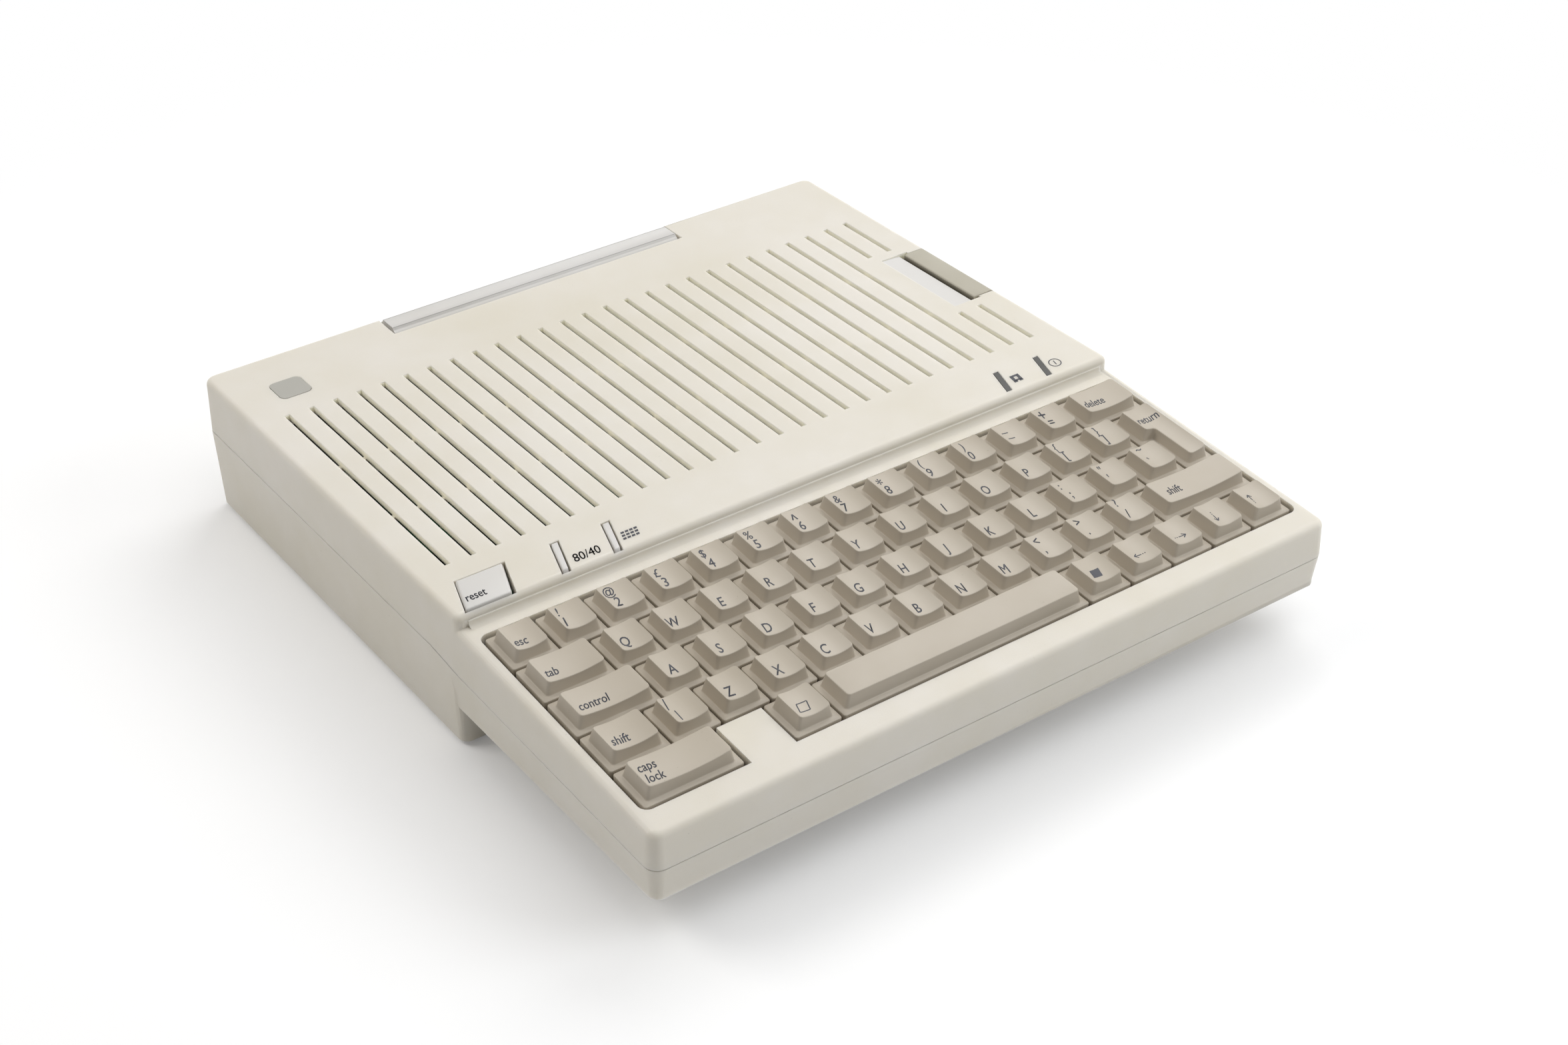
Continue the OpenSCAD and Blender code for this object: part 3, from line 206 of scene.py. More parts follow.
def moulded(name, fresh, aged, grain, relief, rough, stain=None, stain_share=0.0, painted_slot_light=None,
            **constants):
    """Moulded plastic: uneven ageing, a spark-eroded grain, fine specks of dirt.

    painted_slot_light is painted light: a paler tone on the slot walls just below the deck,
    standing in for the light that reaches them.
    """
    f = Finish(name, **constants)
    ageing = f.noise(70, 3, 0.6).clip(0.35, 0.7)
    colour = f.blend(ageing, tone(fresh), tone(aged))
    cloud = f.noise(9, 4, 0.65)
    colour = f.blend(cloud.clip(0.3, 0.8) * 0.22, colour, tone(aged))
    if stain:
        specks = f.noise(1.6, 3, 0.7).clip(0.70 - stain_share, 0.78)
        where = f.noise(40, 2).clip(0.45, 0.7)
        colour = f.blend(specks * where * 0.55, colour, tone(stain))
    # painted light: the slot walls just below the deck get a paler tone, as if lit
    if painted_slot_light:
        x, y, z = (f.node("ShaderNodeSeparateXYZ", None, {"Vector": f.place}, out=k) for k in "XYZ")
        below = ((DECK_Z - SLOT_WALL[0]) * MM - z).clip(0, 0.3 * MM)
        above = (z - (DECK_Z - SLOT_WALL[1]) * MM).clip(0, 0.3 * MM)
        inside = below * above
        inside = inside * ((SLOTS_X * MM) ** 2 - x * x).clip(0, 1e-5)
        inside = inside * ((y - SLOTS_Y[0] * MM) * (SLOTS_Y[1] * MM - y)).clip(0, 1e-5)
        colour = f.blend(inside, colour, tone(painted_slot_light))
    fine = f.noise(grain, 2, 0.6)
    coarse = f.noise(grain * 4, 2, 0.5)
    normal = f.bump(fine + coarse * 0.6, relief)
    return f.dress(Base_Color=colour, Roughness=rough + (cloud - 0.5) * 0.16 + (fine - 0.5) * 0.10,
                   Normal=normal)


def printed(name, ink):
    """Pad-printed ink, a little uneven in density."""
    f = Finish(name)
    density = f.noise(0.5, 3, 0.7).clip(0.25, 0.75)
    return f.dress(Base_Color=f.blend(density * 0.2, tone(ink), tone("#4a4c58")),
                   Roughness=0.5 + (density - 0.5) * 0.1, Normal=f.bump(density, 0.004))


def sheet_metal(name, light, dark, rough, stretch=(1, 12, 1), grain=0.5):
    """Plated or brushed metal with drawn lines and faint blotches."""
    f = Finish(name, Metallic=1.0)
    lines = f.noise(grain, 3, 0.6, stretch)
    blotch = f.noise(22, 3, 0.6)
    colour = f.blend(blotch.clip(0.3, 0.75) * 0.6 + lines * 0.3, tone(light), tone(dark))
    return f.dress(Base_Color=colour, Normal=f.bump(lines, 0.01),
                   Roughness=rough + (lines - 0.5) * 0.18 + (blotch - 0.5) * 0.12)


def circuit(name, mask, trace):
    """Solder mask with tracks under it and tinned pads, on a grid of 2.54 mm."""
    f = Finish(name)
    pitch = 2.54
    tracks = f.node("ShaderNodeTexBrick", {"offset": 0.5, "squash": 0.6, "squash_frequency": 3},
                    {"Vector": f.place, "Scale": 1 / (pitch * 4 * MM), "Mortar Size": 0.03,
                     "Mortar Smooth": 0.2, "Color1": (0, 0, 0, 1), "Color2": (0, 0, 0, 1),
                     "Mortar": (1, 1, 1, 1)}, out="Fac")
    dots = f.node("ShaderNodeTexVoronoi", {"feature": "F1"},
                  {"Vector": f.place, "Scale": 1 / (pitch * 1.6 * MM), "Randomness": 0.35},
                  out="Distance")
    pads = 1.0 - dots.clip(0.10, 0.14)
    colour = f.blend(tracks * 0.8, tone(mask), tone(trace))
    colour = f.blend(pads, colour, tone("#b9b7ac"))
    weave = f.noise(0.7, 2, 0.5)
    return f.dress(Base_Color=colour, Roughness=0.42 - pads * 0.12 + weave * 0.1,
                   Metallic=pads * 0.8, Normal=f.bump(tracks + pads + weave * 0.2, 0.03))


def dark_moulding(name, base, grey, rough, relief=0.012):
    """Dark plastic, paint or rubber with paler, worn clouds and a grain."""
    f = Finish(name)
    cloud = f.noise(6, 4, 0.6)
    grain = f.noise(0.35, 2, 0.6)
    return f.dress(Base_Color=f.blend(cloud.clip(0.35, 0.75) * 0.5, tone(base), tone(grey)),
                   Roughness=rough + (cloud - 0.5) * 0.2, Normal=f.bump(grain, relief))


FINISH = {
    # the case plastic gets a paler painted light on its slot walls
    "case_plastic": moulded("case_plastic", "#ded9d0", "#d7d1c3", 0.45, 0.020, 0.52,
                            stain="#8d8470", stain_share=0.02, painted_slot_light="#fbf4e2",
                            Subsurface_Weight=0.8, Subsurface_Scale=0.003,
                            Subsurface_Radius=(1.0, 1.0, 1.0)),
    "key_plastic": moulded("key_plastic", "#b8afa1", "#afa595", 0.30, 0.010, 0.46,
                           stain="#71664f", stain_share=0.03),
    "white_plastic": moulded("white_plastic", "#d4d2d0", "#cdcac5", 0.5, 0.006, 0.42,
                             stain="#9a9486", stain_share=0.02),
    "latch_plastic": moulded("latch_plastic", "#b3ae9f", "#a9a393", 0.4, 0.018, 0.50,
                             stain="#5f584b", stain_share=0.02),
    "badge": moulded("badge", "#a8a69e", "#9e9b92", 0.6, 0.004, 0.35, Coat_Weight=0.3),
    "lamp": dark_moulding("lamp", "#262520", "#2e2d27", 0.45, 0.002),
    "rubber": dark_moulding("rubber", "#4b4740", "#5a554c", 0.85, 0.05),
    "steel": sheet_metal("steel", "#c3c5c4", "#a3a5a3", 0.36),
    "painted_steel": dark_moulding("painted_steel", "#262624", "#33322f", 0.5, 0.02),
    # switch housings: a dark colour that paints shade into the gaps between the key caps
    "switch_plastic": dark_moulding("switch_plastic", "#2b2a27", "#383630", 0.5),
    "dark_plastic": dark_moulding("dark_plastic", "#232324", "#303031", 0.4),
    "board": circuit("board", "#1f5a35", "#2f7a49"),
    "brass": sheet_metal("brass", "#cfae66", "#b08f4a", 0.3, (1, 1, 14), 0.4),
    "cast_metal": sheet_metal("cast_metal", "#b7b9b8", "#979998", 0.5, (1, 1, 1), 1.6),
    "ink": printed("ink", "#24262f"),
}

# ---------------------------------------------------------------- camera, floor and lights
RIGHT = Vector((0.8208291, -0.57097217, -0.01517786))
DOWN = Vector((-0.33221976, -0.45564589, -0.82584311))
AHEAD = Vector((0.4646177, 0.68291845, -0.56369565))
PLACE = Vector((-0.43974, -0.61640, 0.52988))

lens = bpy.data.cameras.new("view")
lens.sensor_width, lens.lens = 36, 56.144
lens.shift_x, lens.shift_y = 0.0541, 0.0059
lens.clip_start, lens.clip_end = 0.02, 30
camera = shown("view", lens)
camera.matrix_world = Matrix((
    (RIGHT.x, -DOWN.x, -AHEAD.x, PLACE.x),
    (RIGHT.y, -DOWN.y, -AHEAD.y, PLACE.y),
    (RIGHT.z, -DOWN.z, -AHEAD.z, PLACE.z),
    (0, 0, 0, 1)))
scene.camera = camera
scene.view_settings.view_transform = "Standard"

# half width of the floor, its own light, and the distances between which it turns white
FLOOR_HALF, FLOOR_GLOW, FLOOR_FADE = 4.0, 0.13, (0.27, 0.50)
WHITE = (1, 1, 1, 1)
# side of the weaker light, and the cosines of the angle to it between which the light falls
VIEWER_SIDE, FALL = (-0.60, -0.78, 0.15), (0.1, 0.85)


def seen_white(finish):
    """1 where a ray comes straight from the camera, or by way of gloss or glass."""
    path = finish.node("ShaderNodeLightPath", out="Is Camera Ray")
    gloss = Shade(finish, path.out.node.outputs["Is Glossy Ray"])
    through = Shade(finish, path.out.node.outputs["Is Transmission Ray"])
    return (path + gloss + through).clip(0, 1)


def floor_sheet():
    """White paper under the computer; it keeps the shadow and turns plain white farther out."""
    bm = bmesh.new()
    bmesh.ops.create_grid(bm, x_segments=2, y_segments=2, size=FLOOR_HALF)
    floor = shown("floor", as_mesh("floor", bm))
    f = Finish("paper", Roughness=0.9)
    tooth = f.noise(3, 3)
    f.dress(Base_Color=f.blend(tooth * 0.05, (0.86, 0.86, 0.865, 1), (0.82, 0.82, 0.82, 1)),
            Normal=f.bump(tooth, 0.01))
    new, link = f.tree.nodes.new, f.tree.links.new
    glow = f.node("ShaderNodeEmission", None, {"Color": WHITE, "Strength": FLOOR_GLOW})
    lifted, mixed = new("ShaderNodeAddShader"), new("ShaderNodeMixShader")
    link(f.shader.outputs[0], lifted.inputs[0])
    link(glow.out, lifted.inputs[1])
    f.feed(mixed, {0: seen_white(f)})
    link(f.shader.outputs[0], mixed.inputs[1])
    link(lifted.outputs[0], mixed.inputs[2])
    reach = f.node("ShaderNodeVectorMath", {"operation": "LENGTH"}, {0: f.place}, out="Value")
    plain = f.node("ShaderNodeEmission", None, {"Color": WHITE, "Strength": 1.0})
    outer = new("ShaderNodeMixShader")
    f.feed(outer, {0: seen_white(f) * reach.clip(*FLOOR_FADE)})
    link(mixed.outputs[0], outer.inputs[1])
    link(plain.out, outer.inputs[2])
    link(outer.outputs[0], f.end.inputs[0])
    floor.data.materials.append(f.material)


def softbox(name, place, aim, width, height, power, colour=(1, 1, 1)):
    """Large soft lamp at a place, turned to its aim; metres and watts."""
    data = bpy.data.lights.new(name, "AREA")
    data.shape, data.size, data.size_y = "RECTANGLE", width, height
    data.energy, data.color = power, colour
    lamp = shown(name, data)
    lamp.location = place
    lamp.rotation_euler = (Vector(aim) - Vector(place)).to_track_quat("-Z", "Y").to_euler()


def surroundings(ambient, shade):
    """Even light, weaker on the side where the viewer stands, and white where it is seen."""
    world = bpy.data.worlds.new("studio")
    scene.world = world
    world.use_nodes = True
    tree = world.node_tree
    tree.nodes.clear()
    new, link = tree.nodes.new, tree.links.new
    out, ground = new("ShaderNodeOutputWorld"), new("ShaderNodeBackground")
    white, mixed = new("ShaderNodeBackground"), new("ShaderNodeMixShader")
    path, place = new("ShaderNodeLightPath"), new("ShaderNodeTexCoord")
    toward, fall = new("ShaderNodeVectorMath"), new("ShaderNodeMapRange")
    toward.operation = "DOT_PRODUCT"
    toward.inputs[1].default_value = VIEWER_SIDE
    link(place.outputs["Generated"], toward.inputs[0])
    link(toward.outputs["Value"], fall.inputs["Value"])
    for key, value in zip(("From Min", "From Max", "To Min", "To Max"), (*FALL, ambient, shade)):
        fall.inputs[key].default_value = value
    link(fall.outputs[0], ground.inputs["Strength"])
    ground.inputs["Color"].default_value = WHITE
    white.inputs["Color"].default_value = WHITE
    white.inputs["Strength"].default_value = 1.0
    seen = path.outputs["Is Camera Ray"]
    for kind in ("Is Glossy Ray", "Is Transmission Ray"):
        either = new("ShaderNodeMath")
        either.operation = "MAXIMUM"
        link(seen, either.inputs[0])
        link(path.outputs[kind], either.inputs[1])
        seen = either.outputs[0]
    link(seen, mixed.inputs[0])
    link(ground.outputs[0], mixed.inputs[1])
    link(white.outputs[0], mixed.inputs[2])
    link(mixed.outputs[0], out.inputs[0])


floor_sheet()
surroundings(0.37, 0.05)
softbox("rear_right_panel", (1.1, 0.55, 1.3), (0.05, -0.05, 0), 1.3, 1.0, 11.5)
softbox("overhead", (0.15, -0.5, 1.6), (0.0, -0.05, 0), 1.3, 1.1, 8)
softbox("left_panel", (-0.95, 0.75, 1.2), (0, 0.05, 0.03), 0.9, 0.6, 8.5, (1.0, 0.975, 0.93))
softbox("front_panel", (0.85, -0.85, 0.75), (0.1, -0.1, 0.03), 0.8, 0.6, 5.5, (0.95, 0.98, 1.0))


# ---------------------------------------------------------------- making pieces
def piece(name, bm, finish, node, stands_for=(), smooth=32, weighted=False):
    """Turns a mesh in millimetres into a finished piece that rides with a node's body."""
    bmesh.ops.scale(bm, vec=(MM, MM, MM), verts=bm.verts)
    place_mesh(name, as_mesh(name, bm), finish, node, stands_for, smooth, weighted)


def place_mesh(name, mesh, finish, node, stands_for=(), smooth=32, weighted=False):
    """Gives a mesh in metres its finish and its body, and hides the nodes it stands for."""
    mesh.materials.clear()
    mesh.materials.append(FINISH[finish])
    mesh.shade_smooth()
    mesh.set_sharp_from_angle(angle=math.radians(smooth))
    made = shown(name, mesh)
    if weighted:
        even = made.modifiers.new("even", "WEIGHTED_NORMAL")
        even.keep_sharp, even.weight = True, 60
    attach(made, body_of[node])
    if stands_for:
        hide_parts(*stands_for)


def merged(node):
    """Copy of a node's solid with its triangles joined, in millimetres."""
    bm = bmesh.new()
    bm.from_mesh(frame["nodes"][node].data)
    bmesh.ops.scale(bm, vec=(1 / MM, 1 / MM, 1 / MM), verts=bm.verts)
    bmesh.ops.remove_doubles(bm, verts=bm.verts, dist=0.002)
    bmesh.ops.dissolve_degenerate(bm, dist=0.002, edges=bm.edges)
    bmesh.ops.dissolve_limit(bm, angle_limit=math.radians(0.6), verts=bm.verts, edges=bm.edges)
    return bm


def soften(bm, width, choose):
    """Rounds the outward edges sharper than 40 degrees that choose() picks."""
    bm.normal_update()
    picked = [e for e in bm.edges if len(e.link_faces) == 2 and e.is_convex
              and e.calc_face_angle(0) > math.radians(40) and choose(e)]
    bmesh.ops.bevel(bm, geom=picked, offset=width, offset_type="OFFSET", segments=2,
                    profile=0.5, affect="EDGES", clamp_overlap=False, loop_slide=True)


def evaluated(obj):
    """Plain mesh of an object with its modifiers applied; the object is removed."""
    bpy.context.view_layer.update()
    final = obj.evaluated_get(bpy.context.evaluated_depsgraph_get())
    mesh = bpy.data.meshes.new_from_object(final)
    bpy.data.objects.remove(obj)
    return mesh


# ---------------------------------------------------------------- key caps
def rounded(corners, radius, parts):
    """Outline through corners (counter-clockwise) with rounded turns and divided sides."""
    n = len(corners)
    arcs = []
    for i in range(n):
        a, b, c = (Vector(corners[j % n]) for j in (i - 1, i, i + 1))
        u, v = (a - b).normalized(), (c - b).normalized()
        half = u.angle(v) / 2
        middle = b + (u + v).normalized() * (radius / math.sin(half))
        start = b + u * (radius / math.tan(half)) - middle
        end = b + v * (radius / math.tan(half)) - middle
        sweep = math.atan2(start.x * end.y - start.y * end.x, start.dot(end))
        arcs.append([middle + Matrix.Rotation(sweep * k / 4, 2) @ start for k in range(5)])
    outline = []
    for i in range(n):
        p, q = arcs[i][-1], arcs[(i + 1) % n][0]
        outline += arcs[i] + [p.lerp(q, k / parts[i]) for k in range(1, parts[i])]
    return outline


def cap_corners(width, ell):
    """Corners of a cap's cell at given insets from its sides, front and rear."""
    w, leg = width * KEY, 0.25 * KEY

    def at(side, front, rear):
        back = [(w - side, -rear), (side, -rear)]
        if ell:
            return [(leg + side, front - 2 * KEY), (w - side, front - 2 * KEY), *back,
                    (side, front - KEY), (leg + side, front - KEY)]
        return [(side, front - KEY), (w - side, front - KEY), *back]
    return at


def hollow_at(width, hollow):
    """Height of a cap's top across its width."""
    half = (width * KEY - 2 * TOP_SIDE) / 2
    radius = (half * half + hollow * hollow) / (2 * hollow)
    middle = width * KEY / 2

    def height(x):
        off = min(abs(x - middle), half)
        return CAP_TOP - hollow + radius - math.sqrt(radius * radius - off * off)
    return height


def cap_mesh(width, hollow=HOLLOW, ell=False):
    """Key cap with a flanged skirt, leaning sides, rounded edges, a hollow top and a foot."""
    bm = bmesh.new()
    corners, height = cap_corners(width, ell), hollow_at(width, hollow)
    cell = [Vector(p) for p in corners(0, 0, 0)]
    stretch = 2.4 if width < 3 else 5.0
    parts = [max(1, round((q - p).length / stretch)) for p, q in zip(cell, cell[1:] + cell)]
    rise = CAP_TOP - SKIRT_TOP

    def ring(insets, radius, level):
        outline = rounded(corners(*insets), radius, parts)
        return [bm.verts.new((p.x, p.y, level)) for p in outline]

    def foot_ring(outside, radius, level):
        """Ring of the rounded foot of the leaning sides."""
        insets = (BASE_SIDE - outside, BASE_FRONT - outside, BASE_REAR - outside * 0.8)
        return ring(insets, radius, level)

    def body_ring(drop, extra, radius):
        """Ring on the leaning sides, drop below the top edge and extra inside it."""
        low = rounded(corners(BASE_SIDE, BASE_FRONT, BASE_REAR), 1.1, parts)
        high = rounded(corners(TOP_SIDE, TOP_FRONT, TOP_REAR), 1.35, parts)
        inner = rounded(corners(*(inset + extra for inset in (TOP_SIDE, TOP_FRONT, TOP_REAR))),
                        radius, parts)
        made = []
        for a, b, c in zip(low, high, inner):
            z = height(b.x) - drop
            share = (z - SKIRT_TOP) / rise
            p = a.lerp(b, share) + (c - b)
            made.append(bm.verts.new((p.x, p.y, z)))
        return made

    # from below: skirt, rounded foot of the leaning sides, rounded rim of the top
    rings = [
        ring((GAP + 0.12,) * 3, 0.8, SKIRT_FOOT),
        ring((GAP,) * 3, 0.9, SKIRT_FOOT + 0.12),
        ring((GAP,) * 3, 0.9, SKIRT_TOP - 0.42),
        ring((GAP + 0.08,) * 3, 0.85, SKIRT_TOP - 0.16),
        ring((GAP + 0.26,) * 3, 0.75, SKIRT_TOP),
        foot_ring(0.42, 1.2, SKIRT_TOP - 0.02),
        foot_ring(0.12, 1.15, SKIRT_TOP + 0.10),
        foot_ring(-0.06, 1.1, SKIRT_TOP + 0.40),
        body_ring(0.36, 0.0, 1.35),
        body_ring(0.16, 0.03, 1.35),
        body_ring(0.04, 0.13, 1.3),
        body_ring(0.0, 0.30, 1.2),
    ]
    for low, high in zip(rings, rings[1:]):
        bridge(bm, low, high)
    bm.faces.new(list(reversed(rings[0])))
    bm.faces.new(rings[-1]).material_index = 1
    cuts = max(8, round(width * 6)) if hollow > 0.5 else 6
    for k in range(1, cuts):
        x = TOP_SIDE + (width * KEY - 2 * TOP_SIDE) * k / cuts
        lid = [f for f in bm.faces if f.material_index]
        lid = list(dict.fromkeys(lid + [e for f in lid for e in f.edges]
                                 + [v for f in lid for v in f.verts]))
        bmesh.ops.bisect_plane(bm, geom=lid, plane_co=(x, 0, 0), plane_no=(1, 0, 0), dist=1e-4)
    for f in bm.faces:
        if f.material_index:
            for v in f.verts:
                v.co.z = height(v.co.x)
            f.material_index = 0
    middle = ((KEY if ell else width * KEY) / 2, -KEY / 2, (STEM_FOOT + SKIRT_FOOT) / 2)
    block(bm, Matrix.Translation(middle), (STEM, STEM, SKIRT_FOOT - STEM_FOOT + 0.04))
    bm.normal_update()
    return bm


def cell_place(column, row):
    """Turns a cell's own frame into its place in the block of keys."""
    return on_surround @ Matrix.Translation((BLOCK_X + column * KEY, -BLOCK_REAR - row * KEY, 0))


# name: first cell, row, width in cells, depth of the hollow
SINGLE_KEYS = {
    "key_esc": (0, 0, 1, HOLLOW), "key_tab": (0, 1, 1.5, HOLLOW),
    "key_control": (0, 2, 1.75, HOLLOW),
    "key_left_shift": (0, 3, 1.25, HOLLOW), "key_caps_lock": (0, 4, 2, HOLLOW),
    "key_delete": (13, 0, 1.5, HOLLOW), "key_return": (13.5, 1, 1, HOLLOW),
    "key_right_shift": (12.25, 3, 2.25, HOLLOW), "key_open_marker": (3, 4, 1, HOLLOW),
    "space_bar": (4, 4, 5.5, BAR_HOLLOW), "key_solid_marker": (9.5, 4, 1, HOLLOW),
    "key_left_arrow": (10.5, 4, 1, HOLLOW), "key_right_arrow": (11.5, 4, 1, HOLLOW),
    "key_down_arrow": (12.5, 4, 1, HOLLOW), "key_up_arrow": (13.5, 4, 1, HOLLOW),
}

for key, (column, row, width, hollow) in SINGLE_KEYS.items():
    cap = cap_mesh(width, hollow, ell=key == "key_return")
    cap.transform(cell_place(column, row))
    piece(key + "_cap", cap, "key_plastic", key, [key], smooth=50)


def new_tree(name, sockets):
    """Empty Geometry Nodes tree with named inputs, as (kind, name) pairs."""
    tree = bpy.data.node_groups.new(name, "GeometryNodeTree")
    tree.interface.new_socket("Geometry", in_out="OUTPUT", socket_type="NodeSocketGeometry")
    tree.interface.new_socket("Geometry", in_out="INPUT", socket_type="NodeSocketGeometry")
    for kind, label in sockets:
        tree.interface.new_socket(label, in_out="INPUT", socket_type="NodeSocket" + kind)
    return tree, tree.nodes.new("NodeGroupInput"), tree.nodes.new("NodeGroupOutput")


def copies(tree, points, thing):
    """Real copies of a given object on points."""
    new, link = tree.nodes.new, tree.links.new
    one = new("GeometryNodeObjectInfo")
    link(thing, one.inputs["Object"])
    many = new("GeometryNodeInstanceOnPoints")
    link(points, many.inputs["Points"])
    link(one.outputs["Geometry"], many.inputs["Instance"])
    real = new("GeometryNodeRealizeInstances")
    link(many.outputs[0], real.inputs[0])
    return real.outputs[0]


def coated(tree, geometry, finish, made):
    """Ends a tree with geometry in a given material."""
    coat = tree.nodes.new("GeometryNodeSetMaterial")
    tree.links.new(geometry, coat.inputs["Geometry"])
    tree.links.new(finish, coat.inputs["Material"])
    tree.links.new(coat.outputs[0], made.inputs["Geometry"])
    return tree


def grow(tree, values):
    """Mesh that a tree makes with the named values."""
    obj = shown(tree.name, bpy.data.meshes.new(tree.name))
    modifier = obj.modifiers.new("grow", "NODES")
    modifier.node_group = tree
    for item in tree.interface.items_tree:
        if item.in_out == "INPUT" and item.name in values:
            modifier[item.identifier] = values[item.name]
    return evaluated(obj)


def key_column_tree():
    """Rows of one cap, each shifted sideways by its stagger, tilted into the surround's plane."""
    tree, given, made = new_tree("key_column", [
        ("Object", "Cap"), ("Int", "Rows"), ("Float", "Row pitch"), ("Float", "Stagger 1"),
        ("Float", "Stagger 2"), ("Float", "Stagger 3"), ("Vector", "First cell"),
        ("Material", "Finish"), ("Rotation", "Tilt"), ("Vector", "Hinge line")])
    new, link = tree.nodes.new, tree.links.new
    down = new("ShaderNodeMath")
    down.operation = "MULTIPLY"
    down.inputs[1].default_value = -1
    link(given.outputs["Row pitch"], down.inputs[0])
    offset = new("ShaderNodeCombineXYZ")
    link(down.outputs[0], offset.inputs["Y"])
    line = new("GeometryNodeMeshLine")
    link(given.outputs["Rows"], line.inputs["Count"])
    link(offset.outputs[0], line.inputs["Offset"])
    link(given.outputs["First cell"], line.inputs["Start Location"])
    stagger = new("GeometryNodeIndexSwitch")
    stagger.data_type = "FLOAT"
    while len(stagger.index_switch_items) < 4:
        stagger.index_switch_items.new()
    link(new("GeometryNodeInputIndex").outputs[0], stagger.inputs["Index"])
    for k in (1, 2, 3):
        link(given.outputs[f"Stagger {k}"], stagger.inputs[k + 1])
    sideways = new("ShaderNodeCombineXYZ")
    link(stagger.outputs[0], sideways.inputs["X"])
    shift = new("GeometryNodeSetPosition")
    link(line.outputs[0], shift.inputs["Geometry"])
    link(sideways.outputs[0], shift.inputs["Offset"])
    tilt = new("GeometryNodeTransform")
    link(copies(tree, shift.outputs[0], given.outputs["Cap"]), tilt.inputs["Geometry"])
    link(given.outputs["Hinge line"], tilt.inputs["Translation"])
    link(given.outputs["Tilt"], tilt.inputs["Rotation"])
    return coated(tree, tilt.outputs[0], given.outputs["Finish"], made)


def key_columns():
    """The 47 ordinary keys, a slanted column for each body."""
    cap = cap_mesh(1)
    bmesh.ops.scale(cap, vec=(MM, MM, MM), verts=cap.verts)
    one = shown("one_cap", as_mesh("one_cap", cap))
    tree = key_column_tree()
    sizes = {"Cap": one, "Row pitch": KEY * MM, "Finish": FINISH["key_plastic"],
             "Tilt": (SLOPE, 0, 0), "Hinge line": (0, STEP_Y * MM, STEP_Z * MM)}
    for row in (1, 2, 3):
        sizes[f"Stagger {row}"] = (ROW_START[row] - 1) * KEY * MM
    for i in range(COLUMNS):
        node = f"keys_column_{i + 1}"
        sizes["Rows"] = sum(i < len(signs) for signs in ROWS)
        sizes["First cell"] = ((BLOCK_X + (1 + i) * KEY) * MM, -BLOCK_REAR * MM, 0)
        column = grow(tree, sizes)
        place_mesh(node + "_caps", column, "key_plastic", node, [node], smooth=50)
    bpy.data.objects.remove(one)


key_columns()

# ---------------------------------------------------------------- printing
# how far the film stands out of a surface and reaches into it; thickness of a drawn line
INK_LIFT, INK_SINK, LINE = 0.035, 0.03, 0.42
# widths of signs, capitals and words against the font's, and its capital's share of its size
NARROW, NARROW_CAPITAL, NARROW_WORD, CAPITAL = 0.74, 0.67, 0.69, 0.682
# strikes of the lettering; length and thickness of a dash; heights of a cap's two signs
STRIKES, DASH, DASH_LINE = 3, 3.0, 0.5
LOWER_SIGN, UPPER_SIGN = 4.75, 4.3
TALLER_SIGNS = {"+": 1.5, "*": 1.3, "^": 1.3}
# distance between the bends of print: on a hollow, for small marks there, and on flat plastic
BENDS, FINE_BENDS, NO_BENDS = 1.0, 0.8, 99


def letters(text, height, narrow, weight=0.07):
    """Slanted lettering of a capital height, lying flat, as thin closed films.

    It is struck three times, weight millimetres round its place, which makes the strokes bolder.
    """
    font = bpy.data.curves.new("letters", "FONT")
    font.body, font.resolution_u = text, 3
    font.shear = SLANT
    font.size = height / CAPITAL
    font.extrude = (INK_LIFT + INK_SINK) / 2
    once = bmesh.new()
    once.from_mesh(evaluated(shown("letters", font)))
    bmesh.ops.remove_doubles(once, verts=once.verts, dist=0.001)
    bmesh.ops.scale(once, vec=(narrow, 1, 1), verts=once.verts)
    bm = bmesh.new()
    for k in range(STRIKES):
        turn = 2 * math.pi * k / STRIKES
        strike = once.copy()
        aside = (weight * math.cos(turn), weight * math.sin(turn), 0)
        bmesh.ops.translate(strike, vec=aside, verts=strike.verts)
        join(bm, strike)
    once.free()
    return bm


def sign(text, x, y, height):
    """Lettering whose middle lies at x, y."""
    if text in "-_":
        bm = strokes([(-DASH / 2, 0, DASH / 2, 0)], DASH_LINE)
    else:
        narrow = NARROW_CAPITAL if text.isalpha() else NARROW
        bm = letters(text, height * TALLER_SIGNS.get(text, 1), narrow)
    for k, wanted in enumerate((x, y)):
        reach = [v.co[k] for v in bm.verts]
        for v in bm.verts:
            v.co[k] += wanted - (min(reach) + max(reach)) / 2
    return bm


def strokes(lines, thick):
    """Thin closed bars along (x0, y0, x1, y1) lines."""
    bm = bmesh.new()
    for x0, y0, x1, y1 in lines:
        along = Vector((x1 - x0, y1 - y0))
        turn = Matrix.Rotation(math.atan2(along.y, along.x), 4, "Z")
        middle = Matrix.Translation(((x0 + x1) / 2, (y0 + y1) / 2, 0))
        block(bm, middle @ turn, (along.length, thick, INK_LIFT + INK_SINK))
    return bm


def wrap(bm, x, y, height, cut=BENDS):
    """Moves print to x, y and bends it on to a surface of the given height."""
    bmesh.ops.translate(bm, vec=(x, y, 0), verts=bm.verts)
    low = min(v.co.x for v in bm.verts)
    high = max(v.co.x for v in bm.verts)
    k = 1
    while low + k * cut < high:
        bmesh.ops.bisect_plane(bm, geom=bm.verts[:] + bm.edges[:] + bm.faces[:],
                               plane_co=(low + k * cut, 0, 0), plane_no=(1, 0, 0), dist=1e-4)
        k += 1
    middle = (INK_LIFT - INK_SINK) / 2
    for v in bm.verts:
        v.co.z += middle + height(v.co.x)
    return bm


UPPER = dict(zip("1234567890-=[];'`\\,./", "!@\u00a3$%^&*()_+{}:\"~|<>?"))

